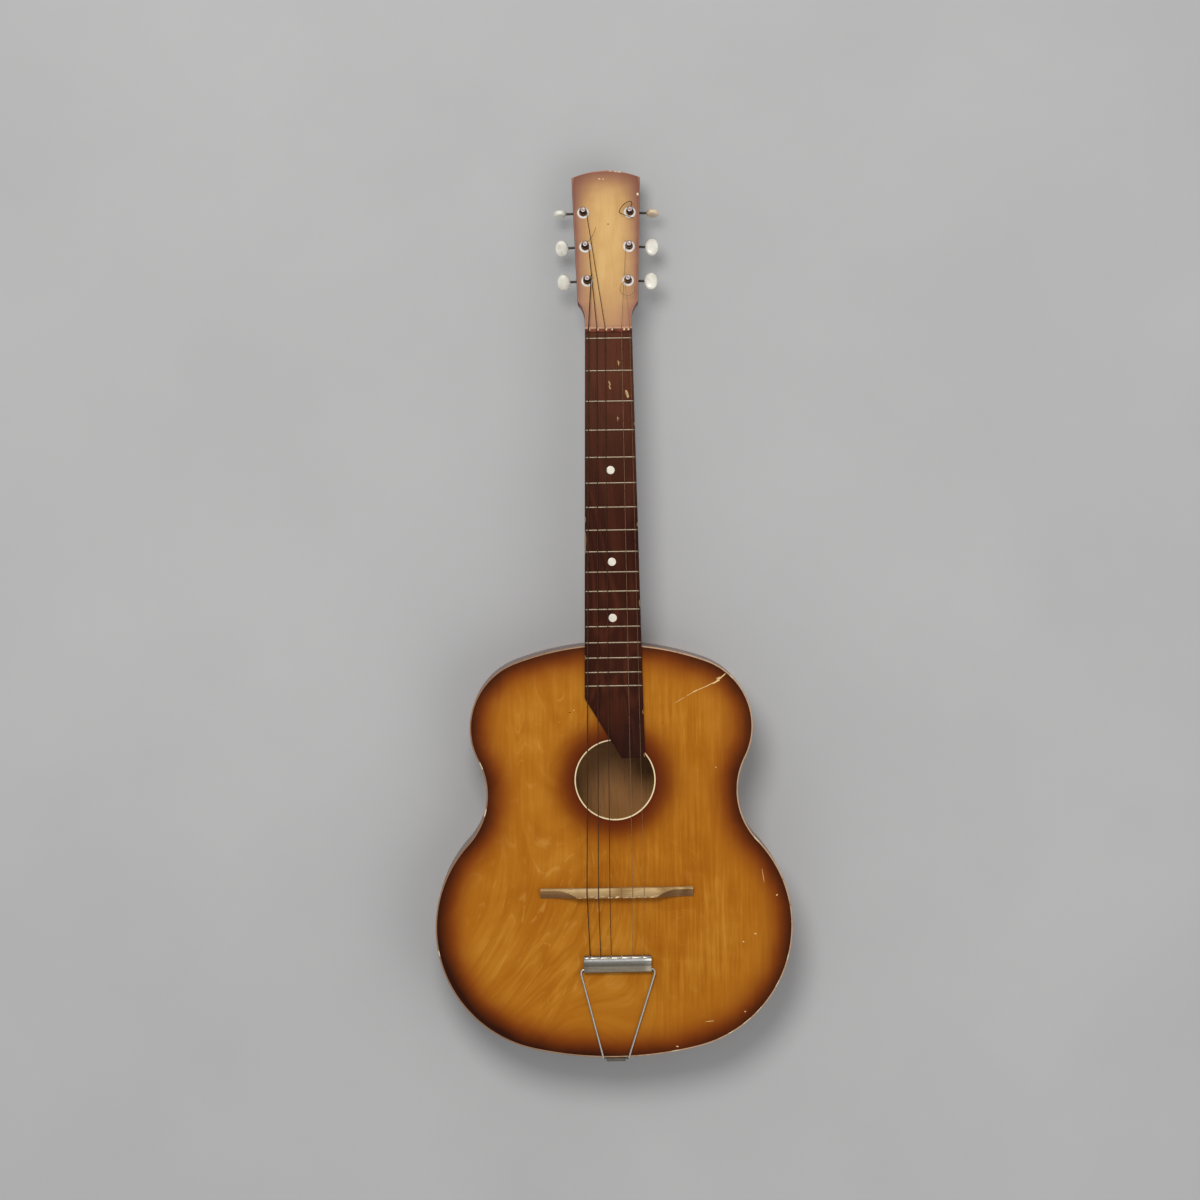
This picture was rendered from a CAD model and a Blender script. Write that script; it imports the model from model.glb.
import math
import random

import bmesh
import bpy
from mathutils import Matrix, Vector
from mathutils.geometry import delaunay_2d_cdt


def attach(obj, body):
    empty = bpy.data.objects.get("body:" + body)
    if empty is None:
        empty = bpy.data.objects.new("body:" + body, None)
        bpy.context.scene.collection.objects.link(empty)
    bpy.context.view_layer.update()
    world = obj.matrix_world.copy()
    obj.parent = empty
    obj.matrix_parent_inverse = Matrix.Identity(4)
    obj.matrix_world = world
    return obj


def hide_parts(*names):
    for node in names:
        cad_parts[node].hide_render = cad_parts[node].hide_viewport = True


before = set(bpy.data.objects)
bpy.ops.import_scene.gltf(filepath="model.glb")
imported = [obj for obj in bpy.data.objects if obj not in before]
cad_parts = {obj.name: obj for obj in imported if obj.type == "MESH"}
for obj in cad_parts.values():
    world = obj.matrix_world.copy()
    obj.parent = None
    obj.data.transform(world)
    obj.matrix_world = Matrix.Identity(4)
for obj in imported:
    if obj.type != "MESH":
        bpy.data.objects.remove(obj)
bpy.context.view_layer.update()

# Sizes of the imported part, in millimetres. Pieces are drawn in millimetres and made in metres.
MM = 0.001
BODY_L = 418
UPPER_W = 286
WAIST_W = 254
LOWER_W = 361
BODY_D = 88
TOP_ARC_R = 280
UPPER_R = 71
LOWER_R = 126
TAIL_ARC_R = 367
TOP_T = 3.2
BACK_T = 3
SIDE_T = 2.5
BINDING_W = 1.5
BINDING_H = 5
HOLE_R = 39.6
RING_W = 1.7
HOLE_Y = 72
NECK_X = 3
SCALE_L = 580
ZERO_Y = 517
BOARD_W0 = 47.6
BOARD_TAPER = 0.0315
BOARD_T = 5
BOARD_END_Y = 94
BOARD_TOP_Y = 523
SLANT_Y = 155
SLANT_X = 7.2
NECK_D0 = 17
NECK_D1 = 20
NUT_T = 5.5
NUT_H = 1.7
HEEL_REACH = 48
HEEL_FOOT_Z = 2
HEAD_Y = 528.5
HEAD_ANGLE = 15
HEAD_L = 165
HEAD_T = 16
HEAD_HALF_W = 34.7
HEAD_LOW_HALF_W = 30.6
SHOULDER_L = 27
SHOULDER_FROM = 9
CROWN_RISE = 7
POST_PITCH = 36
MID_POST_L = 84.3
POST_X = 22.1
ROW_ANGLE = 2.4
POST_R = 3
POST_H = 12
FERRULE_R = 6
FERRULE_HOLE_R = 4
FERRULE_T = 1.2
PLATE_T = 1.2
PLATE_W = 17
GEAR_TEETH = 14
GEAR_R = 4.5
GEAR_T = 2.4
WORM_GAP = 6
SHAFT_R = 1.25
BUTTON_FROM = 16.6
BUTTON_L = 13.2
BUTTON_W = 17.6
BUTTON_T = 6.8
BRIDGE_Y = -41.6
BRIDGE_L = 154
BRIDGE_W = 10
BRIDGE_H = 12
WING_L = 35
WING_H = 7
BAR_Y = -105
BAR_L = 68.4
BAR_W = 17.4
BAR_T = 6.4
BAR_Z = BODY_D + 1.2
WIRE_R = 1.15
WIRE_TAIL_X = 13
BRACKET_W = 40
BRACKET_T = 1.5
KNUCKLE_Z = BODY_D - 14
STRINGS = ("low_e", "a", "d", "g", "b", "high_e")
STRING_R = (0.55, 0.45, 0.37, 0.28, 0.2, 0.15)
BUTTON_TURN = (46, 46, 90, 90, 0, 0)
COIL_TURNS = (3, 4, 4, 3, 6, 7)
COIL_Z = 6
COIL_GAP = 0.02
BOARD_Z = BODY_D + BOARD_T
PLATE_Z = -HEAD_T - PLATE_T
WORM_Z = PLATE_Z - 3.2
SKIN = 0.2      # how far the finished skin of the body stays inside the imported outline
SOFT = 0.02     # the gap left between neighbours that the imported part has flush
TURN = 2 * math.pi
WRAP_PITCH = 0.00042      # metres from one turn of a string's winding wire to the next
DOT_FRETS = (5, 9, 12)


# ---- shapes: lists of points and faces, drawn in millimetres ----------------------------
class Shape:
    """Points, faces and named values on the points."""

    def __init__(self, points=(), faces=(), marks=None):
        self.points = [Vector(p) for p in points]
        self.faces = [tuple(f) for f in faces]
        self.marks = marks or {}

    def flipped(self):
        self.faces = [tuple(reversed(f)) for f in self.faces]
        return self

    def outward(self):
        volume = 0.0
        for face in self.faces:
            a = self.points[face[0]]
            for i, k in zip(face[1:], face[2:]):
                volume += a.dot(self.points[i].cross(self.points[k]))
        return self.flipped() if volume < 0 else self

    def moved(self, matrix):
        out = Shape([matrix @ p for p in self.points], self.faces, dict(self.marks))
        return out.flipped() if matrix.determinant() < 0 else out

    def __add__(self, other):
        start = len(self.points)
        marks = {}
        for name in set(self.marks) | set(other.marks):
            first = self.marks.get(name, [0.0] * start)
            marks[name] = first + other.marks.get(name, [0.0] * len(other.points))
        faces = self.faces + [tuple(i + start for i in f) for f in other.faces]
        return Shape(self.points + other.points, faces, marks)


def shifted(x, y, z):
    return Matrix.Translation((x, y, z))


def turned_by(degrees, axis):
    return Matrix.Rotation(math.radians(degrees), 4, axis)


def circle(r, sides):
    return [(r * math.cos(TURN * k / sides), r * math.sin(TURN * k / sides)) for k in range(sides)]


def lofted(rings, loop=False, marks=None):
    """A skin over rings of equally many points; loop joins the last ring to the first."""
    count = len(rings[0])
    points = [p for ring in rings for p in ring]
    faces = []
    for i in range(len(rings) if loop else len(rings) - 1):
        a = i * count
        b = ((i + 1) % len(rings)) * count
        for k in range(count):
            m = (k + 1) % count
            faces.append((a + k, a + m, b + m, b + k))
    if not loop:
        faces.append(tuple(reversed(range(count))))
        faces.append(tuple(range(len(points) - count, len(points))))
    return Shape(points, faces, marks).outward()


def turned(profile, sides=40):
    """A lathe-turned solid about Z from (radius, height) pairs; a radius of 0 is a closed pole."""
    points = []
    rows = []
    for r, z in profile:
        ring = circle(r, sides) if r else [(0, 0)]
        rows.append(range(len(points), len(points) + len(ring)))
        points += [(x, y, z) for x, y in ring]
    faces = []
    for low, high in zip(rows, rows[1:]):
        for k in range(sides):
            m = (k + 1) % sides
            quad = [low[k % len(low)], low[m % len(low)], high[m % len(high)], high[k % len(high)]]
            face = tuple(dict.fromkeys(quad))
            if len(face) > 2:
                faces.append(face)
    if profile[0] == profile[-1]:
        swap = dict(zip(rows[-1], rows[0]))
        faces = [tuple(swap.get(i, i) for i in f) for f in faces]
        points = points[:rows[-1][0]]
    return Shape(points, faces).outward()


def rounded(path, steps, reach):
    """The path with each inner corner taken round by a short curve."""
    path = [Vector(p) for p in path]
    out = [path[0]]
    for before, here, after in zip(path, path[1:], path[2:]):
        a = here.lerp(before, min(0.5, reach / (before - here).length))
        b = here.lerp(after, min(0.5, reach / (after - here).length))
        for i in range(steps + 1):
            t = i / steps
            out.append(a.lerp(here, t).lerp(here.lerp(b, t), t))
    return out + [path[-1]]


def flowing(path, steps):
    """A smooth curve through every point of the path."""
    path = [Vector(p) for p in path]
    ends = [path[0] * 2 - path[1]] + path + [path[-1] * 2 - path[-2]]
    out = []
    for p0, p1, p2, p3 in zip(ends, ends[1:], ends[2:], ends[3:]):
        for i in range(steps):
            t = i / steps
            out.append(0.5 * (2 * p1 + (p2 - p0) * t + (2 * p0 - 5 * p1 + 4 * p2 - p3) * t * t
                              + (3 * p1 - p0 - 3 * p2 + p3) * t * t * t))
    return out + [path[-1]]


def rod(path, r, sides):
    """A round rod along a path, with slightly rounded ends, and its run marked on it."""
    path = [Vector(p) for p in path]
    first = (path[1] - path[0]).normalized() * 0.5 * r
    last = (path[-1] - path[-2]).normalized() * 0.5 * r
    path = [path[0], path[0] + first] + path[1:-1] + [path[-1] - last, path[-1]]
    radii = [0.7 * r] + [r] * (len(path) - 2) + [0.7 * r]
    rings = []
    run = []
    gone = 0.0
    normal = None
    for i, p in enumerate(path):
        ahead = path[min(i + 1, len(path) - 1)] - p
        behind = p - path[max(i - 1, 0)]
        way = (ahead.normalized() + behind.normalized()).normalized()
        if normal is None:
            normal = way.cross(Vector((0, 0, 1)) if abs(way.z) < 0.9 else Vector((0, 1, 0)))
        normal = (normal - normal.dot(way) * way).normalized()
        other = way.cross(normal)
        gone += behind.length
        rings.append([p + x * normal + y * other for x, y in circle(radii[i], sides)])
        run += [gone * MM] * sides
    return lofted(rings, marks={"run": run})


def plate(loop, z0, z1, ease):
    """A flat plate with its edges eased, from a counter-clockwise loop of (x, y) points."""
    inner = []
    for before, here, after in zip(loop[-1:] + loop, loop, loop[1:] + loop[:1]):
        way = (Vector(after) - Vector(here)).normalized() + (Vector(here) - Vector(before)).normalized()
        way.normalize()
        inner.append((here[0] - way.y * ease, here[1] + way.x * ease))
    levels = ((inner, z0), (loop, z0 + ease), (loop, z1 - ease), (inner, z1))
    return lofted([[(x, y, z) for x, y in ring] for ring, z in levels])


def round_corners(x0, y0, x1, y1, r, steps):
    """Corner points of a rectangle with round corners, counter-clockwise."""
    out = []
    corners = ((x1 - r, y0 + r, -90), (x1 - r, y1 - r, 0), (x0 + r, y1 - r, 90), (x0 + r, y0 + r, 180))
    for cx, cy, a0 in corners:
        for i in range(steps + 1):
            a = math.radians(a0 + 90 * i / steps)
            out.append((cx + r * math.cos(a), cy + r * math.sin(a)))
    return out


def new_object(name, shape):
    """An object at the origin with the shape in metres in its mesh."""
    mesh = bpy.data.meshes.new(name)
    mesh.from_pydata([p * MM for p in shape.points], [], shape.faces)
    for mark, values in shape.marks.items():
        mesh.attributes.new(mark, "FLOAT", "POINT").data.foreach_set("value", values)
    obj = bpy.data.objects.new(name, mesh)
    bpy.context.scene.collection.objects.link(obj)
    return obj


def smoothed(obj, angle):
    """Smooth shading with crisp edges where faces meet more steeply than angle."""
    mesh = obj.data
    mesh.polygons.foreach_set("use_smooth", [True] * len(mesh.polygons))
    mesh.set_sharp_from_angle(angle=math.radians(angle))
    mesh.update()


def seat(obj, body, nodes, finish=None, angle=0):
    """Gives a finished object its finish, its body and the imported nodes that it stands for."""
    if finish:
        obj.data.materials.clear()
        obj.data.materials.append(finishes[finish])
    if angle:
        smoothed(obj, angle)
    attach(obj, body)
    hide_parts(*nodes)


def piece(name, shape, body, finish, nodes, angle=38):
    seat(new_object(name, shape), body, nodes, finish, angle)


# ---- the guitar's own lines -------------------------------------------------------------
def bearing(a, b):
    return math.atan2(b[1] - a[1], b[0] - a[0])


def body_rim(fine):
    """Stations round the body's outline: (x, y, inward x, inward y, way along the edge)."""
    top_y = BODY_L / 2
    waist = WAIST_W / 2
    c_top = (0, top_y - TOP_ARC_R)
    ux = UPPER_W / 2 - UPPER_R
    c_upper = (ux, c_top[1] + math.sqrt((TOP_ARC_R - UPPER_R) ** 2 - ux ** 2))
    c_tail = (0, TAIL_ARC_R - top_y)
    lx = LOWER_W / 2 - LOWER_R
    c_lower = (lx, c_tail[1] - math.sqrt((TAIL_ARC_R - LOWER_R) ** 2 - lx ** 2))
    # the waist's arc touches the waist line and both bouts, which a quadratic in its height gives
    over_upper = UPPER_W / 2 - waist
    over_lower = LOWER_W / 2 - waist
    k_upper = (waist - ux) ** 2 - UPPER_R ** 2
    k_lower = (waist - lx) ** 2 - LOWER_R ** 2
    q2 = over_lower - over_upper
    q1 = 2 * (over_upper * c_lower[1] - over_lower * c_upper[1])
    q0 = over_lower * (c_upper[1] ** 2 + k_upper) - over_upper * (c_lower[1] ** 2 + k_lower)
    root = math.sqrt(q1 * q1 - 4 * q2 * q0)
    heights = [2 * q0 / (-q1 + root), 2 * q0 / (-q1 - root)]
    waist_y = next(y for y in heights if c_lower[1] < y < c_upper[1])
    waist_r = ((waist_y - c_upper[1]) ** 2 + k_upper) / (2 * over_upper)
    c_waist = (waist + waist_r, waist_y)
    a_top = bearing(c_top, c_upper)
    a_upper = bearing(c_upper, c_waist)
    a_lower = bearing(c_lower, c_waist)
    a_tail = bearing(c_tail, c_lower)
    arcs = [(c_top, TOP_ARC_R, math.pi / 2, a_top, 10, -1), (c_upper, UPPER_R, a_top, a_upper, 30, -1),
            (c_waist, waist_r, a_upper + math.pi, a_lower + math.pi, 24, 1),
            (c_lower, LOWER_R, a_lower, a_tail, 36, -1), (c_tail, TAIL_ARC_R, a_tail, -math.pi / 2, 12, -1)]
    half = [(0.0, top_y, 0.0, -1.0)]
    for c, r, a0, a1, n, inward in arcs:
        for i in range(1, n * fine + 1):
            a = a0 + (a1 - a0) * i / (n * fine)
            ca = math.cos(a)
            sa = math.sin(a)
            half.append((c[0] + r * ca, c[1] + r * sa, inward * ca, inward * sa))
    whole = half + [(-x, y, -nx, ny) for x, y, nx, ny in reversed(half[1:-1])]
    out = []
    run = 0.0
    for station, last in zip(whole, whole[:1] + whole):
        run += math.dist(station[:2], last[:2])
        out.append((*station, run))
    return out


def board_half(y):
    return (BOARD_W0 + (ZERO_Y - y) * BOARD_TAPER) / 2


def fret_y(n):
    return ZERO_Y - SCALE_L * (1 - 2 ** (-n / 12))


def row_frame(side):
    """The frame of a row of three posts: +X outwards, +Y to the crown, +Z out of the face."""
    mirror = Matrix.Diagonal((side, 1, 1, 1))
    return HEAD @ mirror @ shifted(POST_X, MID_POST_L, 0) @ turned_by(-ROW_ANGLE, "Z")


def post_frame(i):
    side, place = (-1, i - 1) if i < 3 else (1, 4 - i)
    return row_frame(side) @ shifted(0, place * POST_PITCH, 0)


def string_x(i, spread, drift):
    return NECK_X + drift + spread * (i / 5 - 0.5)


def slots_across(spread, spare):
    """Where each string crosses and half the width of its slot, from the neck's middle line."""
    return [(string_x(i, *spread) - NECK_X, STRING_R[i] + spare) for i in range(6)]


HEAD = shifted(NECK_X, HEAD_Y, BODY_D) @ turned_by(-HEAD_ANGLE, "X")
NUT_SPREAD = (41.4, 0.7)
BRIDGE_SPREAD = (57.6, -1.2)
TAIL_SPREAD = (53.1, -1.2)
LYING = Matrix(((0, 0, 1, 0), (1, 0, 0, 0), (0, 1, 0, 0), (0, 0, 0, 1)))      # Z becomes X, X becomes Y


# ---- body -------------------------------------------------------------------------------
# Chips in the binding's outer edge: nearest to x, y, with half their length and their depth
TOP_CHIPS = ((137, -180, 5, 0.8), (149, -168, 4, 0.8), (-127, 40, 4, 0.8), (-133, 88, 4, 0.8),
             (142, 8, 4, 0.8), (60, -203, 5, 0.5), (-172, -100, 3, 0.5), (174, -110, 3, 0.7),
             (167, -138, 4, 0.8), (120, -190, 3, 0.6), (128, 181, 3, 0.5))
BACK_CHIPS = ((-150, -150, 6, 0.8), (120, 170, 5, 0.7), (20, -208, 8, 0.8), (-60, -200, 4, 0.6),
              (176, -70, 4, 0.5), (-125, 60, 4, 0.7))
RING_UNDER = 0.45      # how much of the hole's ring the finish runs over
HOLE_SIDES = 96
EDGE_RINGS = (BINDING_W + SOFT, 4, 7, 10, 13, 17, 22, 28, 35, 43, 52, 60)


def at_inset(station, inset, z):
    x, y, nx, ny = station[:4]
    return (x + nx * inset, y + ny * inset, z)


def ring_of(rim, profile, chips=(), chip_z=0):
    """A closed (inset, z) profile carried round the body's outline, with chips broken from its edge."""
    rings = []
    marks = {"chipped": [], "run": []}
    rough = random.Random(7)
    broken = []
    for x, y, half, depth in chips:
        near = min(rim, key=lambda station: math.dist(station[:2], (x, y)))
        broken.append((near[:2], half, depth))
    for station in rim:
        bite = 0.0
        for centre, half, depth in broken:
            off = math.dist(station[:2], centre) / half
            if off < 1:
                bite = max(bite, depth * (1 - off ** 3) * rough.uniform(0.55, 1.1))
        ring = []
        for inset, z in profile:
            bitten = bite if abs(z - chip_z) < 2.5 and inset < 1 else 0
            down = 0.9 * bitten if chip_z else -0.9 * bitten
            ring.append(at_inset(station, inset + bitten, z - down))
            marks["chipped"].append(min(1.0, bite * 1.6))
            marks["run"].append(station[4] * MM)
        rings.append(ring)
    return lofted(rings, loop=True, marks=marks)


def within(point, loop):
    """Whether a point lies inside a closed loop."""
    inside = False
    for a, b in zip(loop, loop[1:] + loop[:1]):
        if (a.y > point.y) != (b.y > point.y):
            if point.x < (b.x - a.x) * (point.y - a.y) / (b.y - a.y) + a.x:
                inside = not inside
    return inside


def looped(ids):
    return list(zip(ids, ids[1:] + ids[:1]))


def board_skin(rim, z, hole):
    """One flat face of the soundboard or back: rings along the edge and a filled middle."""
    n = len(rim)
    points = [at_inset(station, inset, z) for inset in EDGE_RINGS for station in rim]
    edge = [inset * MM for inset in EDGE_RINGS for station in rim]
    ids = list(range(len(points)))
    faces = []
    for outer in range(0, len(points) - n, n):
        for k, m in looped(ids[:n]):
            faces.append((outer + k, outer + m, outer + n + m, outer + n + k))
    inner = ids[-n:]
    links = looped(ids[:n])
    hole_ids = []
    if hole:
        centre = Vector(hole[:2])
        points += [(centre.x + x, centre.y + y, z) for x, y in circle(hole[2], HOLE_SIDES)]
        edge += [(EDGE_RINGS[-1] + 20) * MM] * HOLE_SIDES
        hole_ids = list(range(len(ids), len(points)))
        links += looped(list(range(n, n + HOLE_SIDES)))
    inner += hole_ids
    flat = [Vector(points[i][:2]) for i in inner]
    made = delaunay_2d_cdt(flat, links, [], 0, 1e-5, True)
    for tri in made[2]:
        names = [made[3][v][0] for v in tri]
        mid = sum((flat[v] for v in names), Vector((0, 0))) / 3
        if within(mid, flat[:n]) and not (hole and (mid - centre).length < hole[2] - 0.3):
            faces.append(tuple(inner[v] for v in names))
    return points, faces, edge, hole_ids


def panel(name, rim, z_out, z_in, finish, node, hole=None):
    """A soundboard or back: outer face, inner face, and the walls between them."""
    points, skin, edge, hole_ids = board_skin(rim, z_out, hole)
    n = len(points)
    up = Vector((0, 0, z_out - z_in))
    faces = []
    for face in skin:
        a, b, c = (Vector(points[i]) for i in face[:3])
        face = face if (b - a).cross(c - a).dot(up) > 0 else tuple(reversed(face))
        faces += [face, tuple(i + n for i in reversed(face))]
    for a, b in looped(list(range(len(rim)))) + looped(hole_ids):
        faces.append((a, b, b + n, a + n))
    points = points + [(x, y, z_in) for x, y, z in points]
    obj = new_object(name, Shape(points, faces, {"edge": edge + [-MM] * n}))
    mesh = bmesh.new()
    mesh.from_mesh(obj.data)
    bmesh.ops.remove_doubles(mesh, verts=mesh.verts, dist=1e-7)
    bmesh.ops.recalc_face_normals(mesh, faces=mesh.faces)
    mesh.to_mesh(obj.data)
    mesh.free()
    seat(obj, "root", (node,), finish)


def make_body():
    rim = body_rim(1)
    fine = body_rim(4)
    outer = HOLE_R + RING_W - RING_UNDER
    panel("sunburst_soundboard", rim, BODY_D - SOFT, BODY_D - TOP_T, "sunburst_top",
          "soundboard", (NECK_X, HOLE_Y, outer + SOFT))
    panel("stained_back", rim, SOFT, BACK_T, "stained_back", "back")
    low = BINDING_H + SOFT
    high = BODY_D - BINDING_H - SOFT
    under = BINDING_W + SOFT
    side = [(SKIN, low + 0.15), (SKIN, high - 0.15), (SKIN + 0.15, high), (under, high),
            (under, BODY_D - TOP_T - SOFT), (SIDE_T, BODY_D - TOP_T - SOFT), (SIDE_T, BACK_T + SOFT),
            (under, BACK_T + SOFT), (under, low), (SKIN + 0.15, low)]
    piece("bent_sides", ring_of(rim, side), "root", "stained_sides",
          ("side_bass", "side_treble"))
    for name, z, way, chips, node in (("top_edge_binding", BODY_D, -1, TOP_CHIPS, "top_binding"),
                                      ("back_edge_binding", 0, 1, BACK_CHIPS, "back_binding")):
        strip = [(SKIN, BINDING_H), (SKIN, 2.6), (SKIN, 0.9), (SKIN + 0.12, 0.45), (SKIN + 0.4, 0.15),
                 (SKIN + 0.8, 0), (BINDING_W, 0), (BINDING_W, BINDING_H)]
        strip = [(inset, z + way * deep) for inset, deep in strip]
        piece(name, ring_of(fine, strip, chips, z), "root", "cream_binding", (node,))
    lining = [(HOLE_R, BODY_D - TOP_T), (HOLE_R, BODY_D - 0.5), (HOLE_R + 0.15, BODY_D - 0.15),
              (HOLE_R + 0.5, BODY_D), (outer, BODY_D), (outer, BODY_D - TOP_T), (HOLE_R, BODY_D - TOP_T)]
    ring = turned(lining, 128).moved(shifted(NECK_X, HOLE_Y, 0))
    piece("hole_edge_ring", ring, "root", "hole_ring", ("soundhole_ring",))


# ---- neck and head ----------------------------------------------------------------------
LEAN_L = 26                        # the stretch of the neck before the nut that leans over into the head
CORNER = HEAD_L - CROWN_RISE       # height of the head's upper corners above the nut
CROWN_R = (HEAD_HALF_W ** 2 + CROWN_RISE ** 2) / (2 * CROWN_RISE)
# Nicks in the fretboard's left and right edge: at y, with half their length and their depth
LEFT_NICKS = ((314, 9, 0.9), (305, 5, 0.6), (335, 3, 0.5), (196, 3, 0.4))
RIGHT_NICKS = ((329, 2.5, 0.6), (250.5, 4, 0.8), (140.5, 2.5, 0.7), (431, 2, 0.4), (97, 2, 0.6))


def neck_section(half, deep, over, power, pinch=0):
    """A section: over above the middle line, deep below it, squarer with power, narrower with pinch."""
    out = []
    for ca, sa in circle(1, 56):
        swell = power if sa <= 0 else 12
        u = math.copysign(abs(ca) ** (2 / swell), ca)
        v = math.copysign(abs(sa) ** (2 / swell), sa)
        out.append((half * u * (1 - pinch * max(0.0, -v) ** 1.3), (over if sa > 0 else deep) * v))
    return out


def head_half(y):
    """Half width of the head at a height above the nut."""
    neck_half = board_half(HEAD_Y)
    out = HEAD_LOW_HALF_W - neck_half
    up = SHOULDER_L - SHOULDER_FROM
    r = (out * out + up * up) / (2 * out)
    if y <= SHOULDER_FROM:
        return neck_half
    if y <= SHOULDER_L:
        return neck_half + r - math.sqrt(r * r - (y - SHOULDER_FROM) ** 2)
    if y <= CORNER:
        return HEAD_LOW_HALF_W + (HEAD_HALF_W - HEAD_LOW_HALF_W) * (y - SHOULDER_L) / (CORNER - SHOULDER_L)
    return math.sqrt(max(0.0, CROWN_R ** 2 - (y - HEAD_L + CROWN_R) ** 2))


def crown_y(x):
    return HEAD_L - CROWN_R + math.sqrt(CROWN_R ** 2 - x * x)


def make_neck():
    tall = BODY_D - NECK_D1 + 0.6 - HEEL_FOOT_Z
    heel_end = BODY_L / 2 + 56
    stations = [(BODY_L / 2 - 1.6, BODY_D - HEEL_FOOT_Z, 2.9, 0.42)]
    for i in range(25):
        a = math.radians(90 * i / 24)
        deep = BODY_D - HEEL_FOOT_Z - tall * math.sin(a)
        part = (deep - NECK_D1) / (BODY_D - NECK_D1)
        stations.append((heel_end - HEEL_REACH * math.cos(a), deep, 2.1 + 0.8 * part, 0.42 * part))
    for i in range(1, 26):
        t = i / 26
        y = heel_end + (HEAD_Y - LEAN_L - heel_end) * t
        stations.append((y, NECK_D1 - 0.6 + (NECK_D0 - NECK_D1 + 0.6) * t, 2.1, 0))
    rings = []
    for y, deep, power, pinch in stations:
        ring = neck_section(board_half(y) - 0.15, deep, SOFT, power, pinch)
        rings.append([(NECK_X + x, y, BODY_D + z) for x, z in ring])
    # the plane of each section leans back with the head through the last stretch before the nut
    for i in range(9):
        t = i / 8
        y = HEAD_Y - LEAN_L + LEAN_L * t
        lean = math.radians(HEAD_ANGLE) * t * t
        over = HEAD_T / 2 * t * t * t
        deep = NECK_D0 + 0.5 * math.sin(math.pi * t) - over - t
        ring = neck_section(board_half(y) - 0.15, deep, over, 2.1 + 12 * t ** 3)
        rings.append([(NECK_X + x, y + (z - over) * math.sin(lean), BODY_D + (z - over) * math.cos(lean))
                      for x, z in ring])
    edge = [-MM] * sum(len(ring) for ring in rings)
    heights = [1.5, 4, 6.5, 9, 11, 13, 15, 17, 19, 21, 23, 25, 26.5, 27, 27.6]
    heights += [SHOULDER_L + (CORNER - SHOULDER_L) * i / 14 for i in range(1, 15)]
    heights += [crown_y(x) for x in (34.3, 33, 31, 28, 24, 19, 14, 9, 5, 2.5, 1)]
    over = HEAD_T / 2 - 0.01
    for y in heights:
        wide = head_half(min(y, CORNER))
        ring = neck_section(head_half(y), HEAD_T / 2, over, 14)
        rings.append([HEAD @ Vector((x, y, z - HEAD_T / 2)) for x, z in ring])
        for x, z in ring:
            inset = max(min(wide - abs(x), crown_y(x) - y), 0)
            edge.append(inset * MM if z > over - 1.2 else -MM)
    shape = lofted(rings, marks={"edge": edge})
    piece("neck_and_head", shape, "root", "neck_wood", ("neck",), 50)


def nicked_at(y, nicks):
    """How deep the deepest nick is at y."""
    offs = [(abs(y - at) / half, deep) for at, half, deep in nicks]
    return max([deep * (1 - off * off) for off, deep in offs if off < 1], default=0.0)


def make_fretboard():
    ys = []
    y = BOARD_TOP_Y
    while y > BOARD_END_Y + 0.6:
        ys.append(y)
        y -= 1.5
    ys += [BOARD_END_Y + 0.35, BOARD_END_Y]
    rings = []
    edge = []
    chipped = []
    corner = board_half(SLANT_Y)
    for y in ys:
        half = board_half(y)
        whole = -half
        if y < SLANT_Y:
            whole = -corner + (SLANT_X + corner) * (SLANT_Y - y) / (SLANT_Y - BOARD_END_Y)
        left = whole + nicked_at(y, LEFT_NICKS)
        right = half - nicked_at(y, RIGHT_NICKS)
        top = BOARD_Z - (0.25 if y in (ys[0], ys[-1]) else 0)
        if y <= SLANT_Y:
            whole = left
        near = 1.0 if left - whole > 0.12 else 0.0
        far = 1.0 if half - right > 0.12 else 0.0
        ring = [(whole, BODY_D), (whole, top - 2.2), (left, top - 0.7), (left + 0.2, top - 0.2),
                (left + 0.7, top), ((left + right) / 2, top), (right - 0.7, top), (right - 0.2, top - 0.2),
                (right, top - 0.7), (half, top - 2.2), (half, BODY_D)]
        rings.append([(NECK_X + x, y, z) for x, z in ring])
        edge += [0, 0, 0, 0, 0.7 * MM, (right - left) / 2 * MM, 0.7 * MM, 0, 0, 0, 0]
        chipped += [0, 0, near, near, near * 0.3, 0, far * 0.3, far, far, 0, 0]
    shape = lofted(rings, marks={"edge": edge, "chipped": chipped})
    piece("slant_cut_fretboard", shape, "root", "stained_board", ("fretboard",), 30)


def make_nut():
    half = board_half(BOARD_TOP_Y)
    stops = [(-half, 0.5), (-half + 0.3, 0.1), (-half + 0.8, 0)]
    for x, r in slots_across(NUT_SPREAD, 0.1):
        stops += [(x - r - 0.12, 0), (x - r, 1.05), (x + r, 1.05), (x + r + 0.12, 0)]
    stops += [(half - 0.8, 0), (half - 0.3, 0.1), (half, 0.5)]
    rings = []
    for x, drop in stops:
        z = BOARD_Z + NUT_H - drop
        section = [(0, BODY_D), (0, z - 0.7), (0.25, z - 0.25), (0.8, z), (3.2, z), (NUT_T - 0.7, z - 0.5),
                   (NUT_T, z - 1.3), (NUT_T, BODY_D)]
        rings.append([(NECK_X + x, BOARD_TOP_Y + y, height) for y, height in section])
    piece("string_nut", lofted(rings), "root", "worn_nut", ("nut",), 30)


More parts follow.
